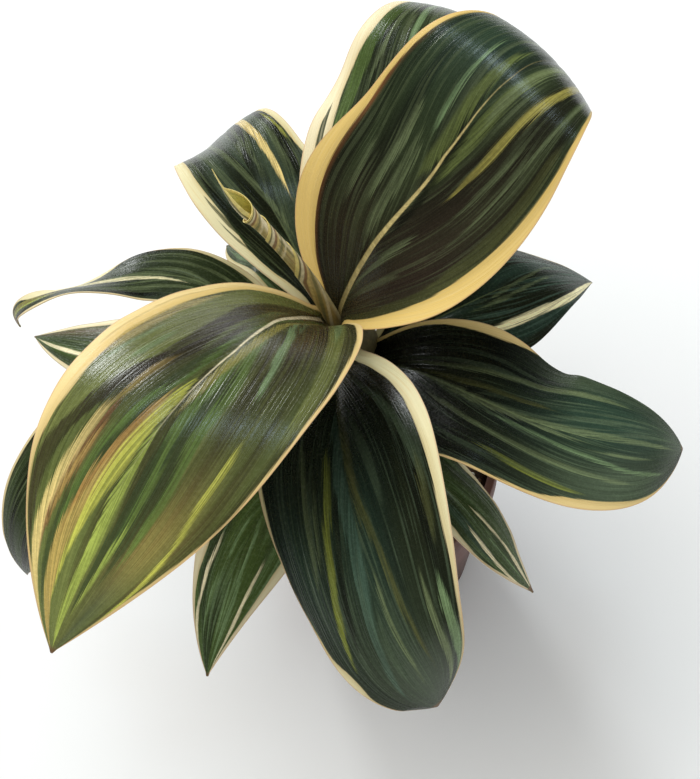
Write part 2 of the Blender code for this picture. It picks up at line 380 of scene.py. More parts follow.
class Effects:
    """The surface effects that several materials share, each a node group built once."""

    def __init__(self) -> None:
        """Build every group."""
        self.stripe = self._stripe()
        self.wash = self._wash()
        self.veins = self._veins()
        self.grain = self._grain()
        self.dust = self._dust()

    @staticmethod
    def _open(name: str, inputs: Sequence[str], outputs: Sequence[str], vector: str = ""
              ) -> tuple[Recipe, list[Value], bpy.types.NodeInputs]:
        """Start a group.

        Args:
            name: the group's name.
            inputs: its number inputs.
            outputs: its number outputs.
            vector: its vector input, if it has one.

        Returns:
            The group's recipe, its inputs with the vector first, and where its outputs go in.
        """
        recipe = Recipe(bpy.data.node_groups.new(name, "ShaderNodeTree"))
        sockets = [(vector, "INPUT", "NodeSocketVector")] if vector else []
        sockets += [(title, "INPUT", "NodeSocketFloat") for title in inputs]
        count = len(sockets)
        sockets += [(title, "OUTPUT", "NodeSocketFloat") for title in outputs]
        for title, way, kind in sockets:
            recipe.tree.interface.new_socket(title, in_out=way, socket_type=kind)
        enter = recipe.tree.nodes.new("NodeGroupInput")
        leave = recipe.tree.nodes.new("NodeGroupOutput")
        return recipe, [Value(recipe, enter.outputs[i]) for i in range(count)], leave.inputs

    def _stripe(self) -> bpy.types.NodeTree:
        """Build the mask of one stripe that runs along a leaf.

        Returns:
            The node group.
        """
        recipe, (across, centre, half, softness, strength), leave = self._open(
            "leaf_stripe", ("Across", "Centre", "Half Width", "Softness", "Strength"), ("Mask",))
        inside = half - abs(across - centre)
        recipe.feed(leave["Mask"], inside.span(0.0, softness) * strength)
        return recipe.tree

    def _wash(self) -> bpy.types.NodeTree:
        """Build the mask of a soft patch on a leaf.

        Returns:
            The node group.
        """
        recipe, (along, across, mid_along, mid_across, long, wide, strength), leave = self._open(
            "leaf_wash", ("Along", "Across", "Mid Along", "Mid Across", "Reach Along",
                          "Reach Across", "Strength"), ("Mask",))
        ahead, aside = (along - mid_along) / long, (across - mid_across) / wide
        fade = recipe.math("POWER", math.e, (ahead * ahead + aside * aside) * -1.0)
        recipe.feed(leave["Mask"], fade * strength)
        return recipe.tree

    def _veins(self) -> bpy.types.NodeTree:
        """Build the streaks and fine ridges that follow a leaf's veins.

        Returns:
            The node group.
        """
        recipe, (vein, along, seed), leave = self._open(
            "leaf_veins", ("Vein", "Along", "Seed"), tuple(VEIN_LAYERS))
        for title, layer in VEIN_LAYERS.items():
            place = recipe.add("CombineXYZ", 0, {
                0: vein * layer.across, 1: along * layer.lengthwise, 2: seed + layer.shift})
            level = recipe.noise(place, 1.0, layer.detail)
            recipe.feed(leave[title], level.span(*layer.levels) if layer.levels else level)
        return recipe.tree

    def _grain(self) -> bpy.types.NodeTree:
        """Build a fine mottle.

        Returns:
            The node group.
        """
        recipe, (place, scale), leave = self._open("skin_grain", ("Scale",), ("Mottle",), "Place")
        spot = recipe.add("VectorMath", 0, {0: place, "Scale": scale}, operation="SCALE")
        recipe.feed(leave["Mottle"], recipe.noise(spot, 1.0, 4.0, 0.6).span(0.3, 0.7))
        return recipe.tree

    def _dust(self) -> bpy.types.NodeTree:
        """Build a blotchy deposit that thins out upwards or downwards.

        Returns:
            The node group.
        """
        recipe, (place, height, low, high), leave = self._open(
            "settled_dust", ("Height", "Low", "High"), ("Mask",), "Place")
        cover = height.span(low, high) * 0.55 + recipe.noise(place, 90.0, 5.0, 0.65)
        recipe.feed(leave["Mask"], cover.span(0.62, 1.0))
        return recipe.tree


def new_material(name: str) -> tuple[bpy.types.Material, Recipe]:
    """Start a material.

    Args:
        name: its name.

    Returns:
        The material and its recipe.
    """
    material = bpy.data.materials.new(name)
    material.use_nodes = True
    return material, Recipe(material.node_tree)


# Mesh tools

def take(obj: bpy.types.Object | None) -> None:
    """Make an object the only selected one and the active one.

    Args:
        obj: the object, or none to leave nothing selected.
    """
    for other in bpy.context.view_layer.objects:
        other.select_set(False)
    if obj:
        obj.select_set(True)
        bpy.context.view_layer.objects.active = obj


def claim(name: str) -> bpy.types.Object:
    """Name the object that a primitive has just made.

    Args:
        name: the new name.

    Returns:
        The object.
    """
    obj = bpy.context.active_object
    obj.name = name
    obj.data.name = name
    return obj


@contextmanager
def editing(obj: bpy.types.Object) -> Iterator[bmesh.types.BMesh]:
    """Open a piece's mesh in edit mode, and close it afterwards.

    Args:
        obj: the piece.

    Yields:
        Its mesh.
    """
    take(obj)
    bpy.ops.object.mode_set(mode="EDIT")
    yield bmesh.from_edit_mesh(obj.data)
    bmesh.update_edit_mesh(obj.data)
    bpy.ops.object.mode_set(mode="OBJECT")


def apply(obj: bpy.types.Object, kind: str, **settings: object) -> None:
    """Add a modifier and apply it.

    Args:
        obj: the object.
        kind: the modifier's type.
        settings: attributes to set on the modifier.
    """
    take(obj)
    modifier = obj.modifiers.new(kind.title(), kind)
    for name, value in settings.items():
        setattr(modifier, name, value)
    bpy.ops.object.modifier_apply(modifier=modifier.name)


def smooth(obj: bpy.types.Object, angle: float) -> None:
    """Shade an object smooth except over edges sharper than an angle in degrees."""
    take(obj)
    bpy.ops.object.shade_smooth_by_angle(angle=math.radians(angle))


def hand_over(piece: bpy.types.Object, node: str, material: bpy.types.Material) -> None:
    """Dress a finished piece and let it stand for its node.

    Args:
        piece: the piece.
        node: the frame's node, which is also the slot's name.
        material: the piece's material.
    """
    piece.data.materials.clear()
    piece.data.materials.append(material)
    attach(piece, "root")
    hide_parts(node)
    LOG.info("%s: %d faces", piece.name, len(piece.data.polygons))


def laid_sheet(name: str, rows: int, columns: int,
               shape: Callable[[np.ndarray, np.ndarray], np.ndarray]
               ) -> tuple[bpy.types.Object, np.ndarray, np.ndarray]:
    """Add a flat grid and lay it over a surface inside the frame's own box.

    Args:
        name: the object's name.
        rows: how many strips of faces along it.
        columns: how many strips of faces across it.
        shape: gives the surface's points for arrays of rows and columns.

    Returns:
        The object, and each vertex's row and column.
    """
    take(None)
    bpy.ops.mesh.primitive_grid_add(x_subdivisions=rows, y_subdivisions=columns, size=1.0,
                                    calc_uvs=True)
    obj = claim(name)
    with editing(obj) as bm:
        spots = np.array([vert.co for vert in bm.verts])
        row = np.rint((spots[:, 0] + 0.5) * rows).astype(int)
        column = np.rint((spots[:, 1] + 0.5) * columns).astype(int)
        for vert, place in zip(bm.verts, np.clip(shape(row, column), *CAD_BOX)):
            vert.co = place
    return obj, row, column


def turned(name: str, profile: Sequence[tuple[float, float]], segments: int
           ) -> bpy.types.Object:
    """Turn a round piece: a circle, extruded and scaled from step to step, and closed.

    Args:
        name: the object's name.
        profile: its (radius, height) steps in millimetres; a radius of 0 closes a pole.
        segments: how many sides it has.

    Returns:
        The object.
    """
    take(None)
    radius, height = profile[0]
    bpy.ops.mesh.primitive_circle_add(vertices=segments, radius=radius * MM,
                                      location=(0, 0, height * MM))
    obj = claim(name)
    bpy.ops.object.transform_apply(location=True, rotation=True, scale=True)
    with editing(obj):
        bpy.ops.mesh.select_all(action="SELECT")
        for next_radius, next_height in profile[1:]:
            lift = (0, 0, (next_height - height) * MM)
            bpy.ops.mesh.extrude_region_move(TRANSFORM_OT_translate={"value": lift})
            if next_radius == 0:
                bpy.ops.mesh.merge(type="CENTER")
            else:
                grow = next_radius / radius
                bpy.ops.transform.resize(value=(grow, grow, 1), center_override=(0, 0, 0))
            radius, height = next_radius, next_height
        bpy.ops.mesh.select_all(action="DESELECT")
        bpy.ops.mesh.select_non_manifold(extend=False)
        bpy.ops.mesh.edge_face_add()
        bpy.ops.mesh.select_all(action="SELECT")
        bpy.ops.mesh.normals_make_consistent(inside=False)
    return obj


def set_attribute(obj: bpy.types.Object, name: str, values: Sequence[np.ndarray]) -> None:
    """Store a vector for each vertex of a piece.

    Args:
        obj: the piece.
        name: the attribute's name.
        values: the vectors' first, second and third numbers.
    """
    attribute = obj.data.attributes.new(name, "FLOAT_VECTOR", "POINT")
    attribute.data.foreach_set("vector", np.stack(values, -1).astype(np.float32).ravel())


def along(keys: Sequence[float], u: np.ndarray) -> np.ndarray:
    """Read a smooth curve through equally spaced keys.

    Args:
        keys: the curve's values.
        u: where to read it, from 0 to the last key's index.

    Returns:
        The curve's values there.
    """
    values = np.asarray(keys, float)
    padded = np.concatenate([[2 * values[0] - values[1]], values,
                             [2 * values[-1] - values[-2]]])
    index = np.minimum(np.asarray(u, float).astype(int), len(values) - 2)
    t = u - index
    a, b, c, d = (padded[index + k] for k in range(4))
    return 0.5 * (2 * b + (c - a) * t + (2 * a - 5 * b + 4 * c - d) * t ** 2
                  + (3 * b - a - 3 * c + d) * t ** 3)


def along_keys(keys: Keys, t: np.ndarray) -> np.ndarray:
    """Read an eased curve through (place, height) keys.

    Args:
        keys: the curve's points in order.
        t: where to read it.

    Returns:
        Its heights there.
    """
    places, heights = np.array(keys, float).T
    index = np.clip(np.searchsorted(places, t, side="right") - 1, 0, len(places) - 2)
    gap = places[index + 1] - places[index]
    share = np.clip((t - places[index]) / gap, 0, 1)
    slopes = np.gradient(heights, places)
    return ((2 * share ** 3 - 3 * share ** 2 + 1) * heights[index]
            + (share ** 3 - 2 * share ** 2 + share) * gap * slopes[index]
            + (3 * share ** 2 - 2 * share ** 3) * heights[index + 1]
            + (share ** 3 - share ** 2) * gap * slopes[index + 1])


def ripple(seed: int, places: np.ndarray, waves: Sequence[float]) -> np.ndarray:
    """Give a gentle irregular wave that is the same each time.

    Args:
        seed: which wave.
        places: where to read it.
        waves: how many waves of each kind fit into one unit.

    Returns:
        Heights round 0, mostly within 1.
    """
    draw = np.random.default_rng(seed)
    total = np.zeros_like(places, dtype=float)
    for count in waves:
        total += draw.uniform(0.5, 1.0) * np.sin(
            math.tau * (count * places + draw.uniform(0, 1)))
    return total / len(waves)


# Leaves

@dataclass(frozen=True)
class LeafShape:
    """One leaf's form, near the frame's.

    arch is the midrib's slope above the horizontal, sweep the turn of its heading to the left
    and twist the roll about the midrib, each at the clasping base, at the end of the petiole
    and at the quarters of the blade.
    """
    azimuth: float
    node: float
    petiole: float
    blade: float
    width: float
    arch: tuple[float, ...]
    sweep: tuple[float, ...]
    twist: tuple[float, ...]
    widest: float
    shoulder: float
    point: float
    blunt: float = 1.0


@dataclass(frozen=True)
class Stripe:
    """One band of colour that runs along a leaf.

    path gives its (along, across, half width) in percent; a stripe that lies over the pale
    margin is marked as such.
    """
    tone: Tone
    path: Path
    strength: float = 0.9
    soft: float = 0.026
    over: bool = False


@dataclass(frozen=True)
class Wash:
    """One soft patch of colour on a leaf, its spot and reach in percent."""
    tone: Tone
    spot: tuple[float, float]
    reach: tuple[float, float]
    strength: float = 0.8


@dataclass(frozen=True)
class LeafColours:
    """How one leaf is coloured.

    left and right give the inner edge of each pale margin, and rib_path the midrib's line,
    as (along, across) keys in percent; light gives how light the blade is along the leaf,
    partly its own paling towards the tip and partly painted light: painted shade towards
    the crown and painted sheen out on the blade.
    """
    deep: Tone = Tone.DEEP
    body: Tone = Tone.FOREST
    streak: Tone = Tone.GREY_GREEN
    margin: Tone = Tone.CREAM
    edge: Tone = Tone.BLUSH
    rib: Tone = Tone.OLIVE
    rib_width: float = 0.45
    rib_end: float = 0.8
    left: Keys = ((0, 60), (15, 78), (35, 86), (70, 92), (100, 90))
    right: Keys = ((0, 60), (15, 78), (35, 86), (70, 92), (100, 90))
    rib_path: Keys = ((0, 0), (100, 0))
    # partly painted light: painted shade near the base, painted sheen towards the tip
    light: Keys = ((0, 80), (40, 110), (100, 130))
    lining: float = 0.0
    bands: float = 0.55
    streaks: float = 0.5
    lines: float = 0.35
    shine: float = 0.38
    dry_tip: float = 0.985
    stripes: tuple[Stripe, ...] = ()
    washes: tuple[Wash, ...] = ()


@dataclass(frozen=True)
class LeafSkin:
    """The finish that all the leaves share.

    wander is how far the margins' inner edges stray with the veins, and fray how far the
    stripes' edges do, as shares across the leaf.
    """
    effects: Effects
    roughness: float = 0.26
    margin_roughness: float = 0.46
    under_roughness: float = 0.62
    grain: float = 900.0
    relief: float = 0.00016
    wander: float = 0.012
    fray: float = 0.034

    def dress(self, name: str, colours: LeafColours, seed: int) -> bpy.types.Material:
        """Build one leaf's material.

        Args:
            name: the material's name.
            colours: the leaf's colours.
            seed: keeps its streaks apart from the other leaves'.

        Returns:
            The material.
        """
        material, recipe = new_material(name)
        t, x, vein = recipe.parts(recipe.stored("lay"))
        edge, rib, under = recipe.parts(recipe.stored("reach"))
        veins = recipe.group(self.effects.veins, Vein=vein, Along=t,
                             Seed=recipe.math("SIGN", x) * 2.3 + float(seed))
        mottle = recipe.group(self.effects.grain, Place=recipe.place(),
                              Scale=self.grain)["Mottle"]
        ragged = veins["Threads"] - 0.5
        wavy = x + ragged * self.wander

        colour = recipe.mix(veins["Bands"] * colours.bands, colours.deep, colours.body)
        for wash in colours.washes:
            mask = recipe.group(
                self.effects.wash, Along=t, Across=x, Strength=wash.strength,
                Mid_Along=wash.spot[0] / 100, Mid_Across=wash.spot[1] / 100,
                Reach_Along=wash.reach[0] / 100, Reach_Across=wash.reach[1] / 100)["Mask"]
            colour = recipe.mix(mask, colour, wash.tone)
        colour = recipe.mix(veins["Streaks"] * colours.streaks, colour, colours.streak)
        colour = recipe.mix(veins["Lines"] * colours.lines, colour, colours.streak)
        colour = self._stripes(recipe, colours, colour, t, x + ragged * self.fray, veins, False)
        colour = self._midrib(recipe, colours, colour, t, rib)
        # Painted light: this curve darkens the blade towards the crown as painted shade and lightens its
        # outer part as painted sheen, on top of its own paling towards the tip.
        light = recipe.curve(t, colours.light, True)
        fine = (mottle * 0.16 + 0.92) * (veins["Threads"] * 0.34 + 0.83)
        colour = recipe.brighten(colour, light * fine)
        colour, pale = self._margins(recipe, colours, colour, t, wavy, edge, veins)
        colour = self._stripes(recipe, colours, colour, t, wavy, veins, True)
        colour = recipe.mix(t.span(colours.dry_tip, colours.dry_tip + 0.012), colour, Tone.HUSK)
        matt = recipe.mix(pale * 0.75, recipe.mix(0.55, colour, Tone.UNDERSIDE), colours.margin)

        rough = (mottle * 0.08 + (self.roughness - 0.04)
                 + pale * (self.margin_roughness - self.roughness))
        rough = recipe.math("ADD", rough, under * (self.under_roughness - self.roughness),
                            clamp=True)
        recipe.finish(recipe.mix(under, colour, matt), rough, veins["Ridge"] + mottle * 0.16,
                      self.relief, 0.8)
        shader = material.node_tree.nodes["Principled BSDF"]
        shader.inputs["Specular IOR Level"].default_value = colours.shine
        return material

    def _stripes(self, recipe: Recipe, colours: LeafColours, colour: Value, t: Value, x: Value,
                 veins: dict[str, Value], over: bool) -> Value:
        """Draw the stripes under or over the margins.

        Args:
            recipe: the material's recipe.
            colours: the leaf's colours.
            colour: the colour so far.
            t: the share along the leaf.
            x: the share across it.
            veins: the leaf's vein effect.
            over: draw those over the margins, and not those under them.

        Returns:
            The colour with the stripes on it.
        """
        for stripe in colours.stripes:
            if stripe.over == over:
                soft = 100 * stripe.soft
                widths = tuple((a, w + soft * (w > 0)) for a, _, w in stripe.path)
                mask = recipe.group(
                    self.effects.stripe, Across=x, Softness=stripe.soft,
                    Centre=recipe.curve(t, tuple((a, c) for a, c, _ in stripe.path)),
                    Half_Width=recipe.curve(t, widths, True), Strength=stripe.strength)["Mask"]
                colour = recipe.mix(mask * (veins["Threads"] * 0.36 + 0.64), colour, stripe.tone)
        return colour

    def _midrib(self, recipe: Recipe, colours: LeafColours, colour: Value, t: Value,
                rib: Value) -> Value:
        """Draw the midrib's line.

        Args:
            recipe: the material's recipe.
            colours: the leaf's colours.
            colour: the colour so far.
            t: the share along the leaf.
            rib: the distance from the midrib in millimetres.

        Returns:
            The colour with the midrib on it.
        """
        width = t.span(0.0, colours.rib_end, colours.rib_width * 1.5, colours.rib_width * 0.4)
        line = recipe.math("DIVIDE", width - abs(rib), 0.35, clamp=True)
        fade = t.span(colours.rib_end - 0.25, colours.rib_end + 0.1, 0.85, 0.0)
        return recipe.mix(line * fade, colour, colours.rib)

    def _margins(self, recipe: Recipe, colours: LeafColours, colour: Value, t: Value, x: Value,
                 edge: Value, veins: dict[str, Value]) -> tuple[Value, Value]:
        """Lay the pale margins over the blade.

        Args:
            recipe: the material's recipe.
            colours: the leaf's colours.
            colour: the colour so far.
            t: the share along the leaf.
            x: the share across it.
            edge: the distance from the nearer edge in millimetres.
            veins: the leaf's vein effect.

        Returns:
            The colour with the margins on it, and the margins' mask.
        """
        out = [x * float(side.value) - recipe.curve(t, keys)
               for keys, side in ((colours.left, Side.LEFT), (colours.right, Side.RIGHT))]
        pale = recipe.math("MAXIMUM", *(each.span(-0.006, 0.012) for each in out))
        if colours.lining:
            near = out[0].span(-0.06, 0.0) * t.span(0.35, 0.7, 1.0, 0.0)
            near = near * (veins["Bands"] * 0.7 + 0.3) * colours.lining
            colour = recipe.mix(near, colour, Tone.RUST)
        shade = recipe.mix(veins["Lines"] * 0.30, colours.margin, Tone.GOLD)
        shade = recipe.mix(veins["Threads"] * 0.16, shade, Tone.IVORY)
        inner = recipe.math("MINIMUM", *(each.span(0.0, 0.10, 0.4, 0.0) for each in out))
        shade = recipe.mix(inner, shade, Tone.OCHRE)
        shade = recipe.mix(edge.span(0.1, 0.5, 0.5, 0.0), shade, colours.edge)
        return recipe.mix(pale, colour, shade), pale


@dataclass
class Leaf:
    """One leaf with its petiole and clasping base, grown as one piece.

    flesh is how much of the full thickness the blade has between midrib and edge, and keel
    how wide the thick midrib is; lengths and widths are in millimetres.
    """
    name: str
    shape: LeafShape
    colours: LeafColours
    skin: LeafSkin
    seed: int
    face_length: float = 1.25
    face_width: float = 1.15
    crowding: float = 1.2
    thickness: float = 1.0
    edge_share: float = 0.32
    flesh: float = 0.42
    keel: float = 1.6
    groove_depth: float = 0.32
    groove_width: float = 1.2
    quilting: float = 0.10
    quilt_waves: tuple[float, ...] = (0.9, 1.7, 2.9)
    edge_wave: float = 0.35
    edge_waves: tuple[float, ...] = (2.6, 4.3, 7.1)
    edge_seed: int = 50
    tip_half_width: float = 0.3
    vein_reach: float = 1.7
    vein_ease: float = 0.9
    vein_close: float = 0.45
    clasp: float = 0.0
    clasp_share: float = 0.14

    def half_width(self, t: np.ndarray) -> np.ndarray:
        """Give half the leaf's width along its arc, in millimetres.

        Args:
            t: shares along the blade.

        Returns:
            The half widths.
        """
        shape = self.shape
        rise = 1 - np.clip(1 - t / shape.widest, 0, 1) ** shape.shoulder
        fall = 1 - np.clip((t - shape.widest) / (1 - shape.widest), 0, 1) ** shape.point
        blade = shape.width / 2 * np.where(t < shape.widest, rise, fall ** shape.blunt)
        base = SHEATH_HALF_WIDTH * (1 - np.clip(t / 0.4, 0, 1))
        return np.maximum(np.hypot(blade, base), self.tip_half_width)

    def surface(self, lengths: np.ndarray, x_columns: np.ndarray) -> np.ndarray:
        """Give the points of the leaf's upper face.

        Args:
            lengths: distances from the clasping base, in millimetres.
            x_columns: shares across the leaf.

        Returns:
            The points in metres, one row for each distance.
        """
        shape = self.shape
        marks = np.array([0.0] + [shape.petiole + q * shape.blade for q in QUARTERS])
        length = np.linspace(0, marks[-1], CURVE_STEPS + 1)
        u = np.interp(length, marks, np.arange(len(marks)))
        slope, heading, roll, fold, camber = (
            np.radians(start + along(keys, u)) for start, keys in (
                (0, shape.arch), (shape.azimuth, shape.sweep), (0, shape.twist), (0, FOLD),
                (0, CAMBER)))
        ahead = np.stack([np.cos(slope) * np.cos(heading),
                          np.cos(slope) * np.sin(heading), np.sin(slope)], -1)
        level = np.stack([-np.sin(heading), np.cos(heading), 0 * heading], -1)
        above = np.cross(ahead, level)
        turn, lift = np.cos(roll)[:, None], np.sin(roll)[:, None]
        left = turn * level + lift * above
        up = turn * above - lift * level
        bearing = math.radians(shape.azimuth)
        out = np.array([math.cos(bearing), math.sin(bearing), 0.0])
        start = out * (STEM_RADIUS + LEAF_SEAT) + (0, 0, shape.node)
        steps = (ahead[1:] + ahead[:-1]) / 2 * (length[1] - length[0])
        midrib = np.concatenate([start[None], start + np.cumsum(steps, 0)])
        drawn = 1 - np.clip(length / (shape.petiole + self.clasp_share * shape.blade), 0, 1)
        midrib -= (drawn ** 2 * (3 - 2 * drawn))[:, None] * out * self.clasp
        width = self.half_width(np.clip((length - shape.petiole) / shape.blade, 0, 1))
        shares = (np.arange(CAMBER_STEPS) + 0.5) / CAMBER_STEPS
        surface = np.empty((len(lengths), len(x_columns), 3))
        for column, x in enumerate(x_columns):
            angle = fold[:, None] + camber[:, None] * (shares * abs(x))[None]
            across = np.cos(angle).mean(1) * x * width
            rise = np.sin(angle).mean(1) * abs(x) * width
            points = midrib + across[:, None] * left + rise[:, None] * up
            for axis in range(3):
                surface[:, column, axis] = np.interp(lengths, length, points[:, axis])
        return surface * MM

    def rib(self, t: np.ndarray) -> np.ndarray:
        """Give where the midrib lies across the leaf at shares along the blade."""
        return np.interp(t, *(np.array(self.colours.rib_path) / 100).T)

    def vein(self, t: np.ndarray, x: np.ndarray) -> np.ndarray:
        """Give a number that is the same all along a vein, growing by 1 a centimetre.

        Args:
            t: shares along the blade.
            x: shares across it.

        Returns:
            The numbers.
        """
        middle = self.rib(t)
        apart = np.abs(x - middle) / (1 - np.sign(x - middle) * middle)
        near = np.log(np.maximum(1 - apart / self.vein_reach, 0.05))
        length = t - self.vein_close * t ** 2
        return (-(length + self.vein_ease * near) * self.vein_reach / self.vein_ease
                * self.shape.width / 20)

    def build(self) -> None:
        """Build the leaf's mesh and store where each vertex lies on it."""
        shape = self.shape
        total = shape.petiole + shape.blade
        rows = max(48, round(total / self.face_length))
        columns = 2 * max(12, round(shape.width / self.face_width / 2))
        lengths = np.linspace(0, total, rows + 1)
        bend = self.crowding
        x_columns = np.sin(np.linspace(-1, 1, columns + 1) * bend) / math.sin(bend)
        t_rows = (lengths - shape.petiole) / shape.blade
        width = self.half_width(np.clip(t_rows, 0, 1))
        surface = self.surface(lengths, x_columns)
        surface += self._relief(surface, t_rows, x_columns, width)
        piece, row, column = laid_sheet(f"{self.name}_blade", rows, columns,
                                        lambda r, c: surface[r, c])
        body = piece.vertex_groups.new(name="body")
        away = (x_columns[None] - self.rib(t_rows)[:, None]) * width[:, None]
        flesh = self.flesh * (1 - np.abs(x_columns[None]) ** 3)
        tail = np.clip((1 - t_rows) / 0.25, 0, 1)[:, None]
        weight = np.exp(-(away / self.keel) ** 2) * (0.25 + 0.75 * tail)
        weight = np.clip(np.maximum(weight, flesh), 0, 1)
        for index, (r, c) in enumerate(zip(row, column)):
            body.add([index], float(weight[r, c]), "REPLACE")
        apply(piece, "SOLIDIFY", thickness=self.thickness * MM, offset=-1.0,
              vertex_group="body", thickness_vertex_group=self.edge_share)
        below = np.repeat((0.0, 1.0), len(row))
        row, column = np.tile(row, 2), np.tile(column, 2)
        t, x = t_rows[row], x_columns[column]
        set_attribute(piece, "lay", (t, x, self.vein(t, x)))
        set_attribute(piece, "reach", ((1 - np.abs(x)) * width[row], away[row, column], below))
        smooth(piece, 60)
        hand_over(piece, self.name,
                  self.skin.dress(f"{self.name}_skin", self.colours, self.seed))

    def _relief(self, surface: np.ndarray, t_rows: np.ndarray, x_columns: np.ndarray,
                width: np.ndarray) -> np.ndarray:
        """Give the leaf's groove, quilting and edge wave as offsets.

        Args:
            surface: the leaf's points.
            t_rows: the share along the blade of each row.
            x_columns: the share across it of each column.
            width: the half width at each row, in millimetres.

        Returns:
            An offset for each point, in metres.
        """
        normal = np.cross(np.gradient(surface, axis=0), np.gradient(surface, axis=1))
        normal /= np.maximum(np.linalg.norm(normal, axis=2, keepdims=True), 1e-12)
        t, x = np.meshgrid(t_rows, x_columns, indexing="ij")
        away = (x - self.rib(t)) * width[:, None] / self.groove_width
        blade = np.clip(t * 6, 0, 1) * np.clip((1 - t) * 5, 0, 1)
        groove = -self.groove_depth * np.exp(-away ** 2) * np.clip((1 - t) * 2, 0, 1)
        quilt = self.quilting * ripple(self.seed, self.vein(t, x), self.quilt_waves)
        wave = self.edge_wave * ripple(self.seed + self.edge_seed, t, self.edge_waves)
        wave *= np.abs(x) ** 3 * np.where(x > 0, 1.0, -0.8)
        return normal * ((groove + (quilt + wave) * blade) * MM)[..., None]


LEAF_SHAPES = {
    "leaf_01": LeafShape(23, 180, 6, 151, 69, (86, 79, 38, 41, -58, -127),
                         (0, -3, -9, 11, 5, 0), (0, 2, 14, 2, 6, 0), 0.31, 3.1, 2.3),
    "leaf_02": LeafShape(231, 174, 12, 166, 69, (86, 70, 47, 21, -23, -39),
                         (0, -2, 3, -1, -4, 3), (0, -5, 5, 5, -4, 1), 0.47, 2.2, 2.2),
    "leaf_03": LeafShape(53, 168, 13, 146, 59, (84, 73, 44, 13, -31, -84),
                         (0, -1, -7, 4, 10, 2), (0, 0, -4, -17, 8, 2), 0.42, 2.0, 2.1),
    "leaf_04": LeafShape(263, 161, 17, 144, 55, (82, 53, 30, -1, -30, -73),
                         (0, -2, 3, 6, 16, 70), (0, -1, 7, 23, 36, 40), 0.51, 2.1, 2.6, 0.75),
    "leaf_05": LeafShape(106, 156, 18, 126, 46, (80, 58, 20, -18, -49, -89),
                         (0, 2, 3, -3, -6, -3), (0, 3, 8, 12, -21, -11), 0.4, 2.1, 2.0),
    "leaf_06": LeafShape(316, 150, 12, 123, 56, (81, 54, 13, 3, -25, -52),
                         (0, -2, -1, 4, 34, 66), (0, 7, 0, -22, 2, 39), 0.43, 1.7, 2.1, 0.8),
    "leaf_07": LeafShape(159, 144, 23, 114.4, 28.7, (77, 51, 8, 11, 2, -100),
                         (0, -2, -26, 22, 25, -6), (0, 3, 22, 17, 44, -72), 0.4, 1.9, 1.2),
    "leaf_08": LeafShape(9, 138, 16, 92, 49, (75, 44, 13, -14, -36, -54),
                         (0, -2, 1, 12, 8, 3), (0, 0, 2, 5, -5, -6), 0.41, 2.0, 1.5),
    "leaf_09": LeafShape(203, 132, 23, 137, 46, (75, 48, 28, 4, -36, -90),
                         (0, -2, -4, -2, 5, 14), (0, 0, -1, -5, -8, -14), 0.43, 2.0, 2.1),
    "leaf_10": LeafShape(239, 122, 22, 106, 37, (72, 47, 27, 8, -12, -35),
                         (0, -1, -3, -4, 0, 10), (0, 0, 0, 0, 1, 3), 0.41, 2.0, 1.8),
    "leaf_11": LeafShape(108, 116, 20, 76, 22, (72, 48, 21, -6, -30, -34),
                         (0, -5, 1, 4, 23, 16), (0, 0, 4, 9, 8, 7), 0.53, 1.8, 2.9),
    "leaf_12": LeafShape(295, 110, 19, 92, 27, (72, 52, 27, -3, -36, -53),
                         (0, -2, -1, 8, 6, 14), (0, -1, -12, -29, -22, -25), 0.42, 2.0, 2.0),
    "leaf_13": LeafShape(159, 104, 21, 111, 36, (70, 42, 20, 3, -12, -26),
                         (0, -1, -1, -4, -9, -19), (0, 0, 0, 1, 2, 1), 0.42, 2.0, 2.0),
}

# How far the bases of the youngest leaves are drawn in round the rolled one, in millimetres
CLASPS = {"leaf_01": 5.5, "leaf_02": 4.0, "leaf_04": 2.0, "leaf_06": 2.0}

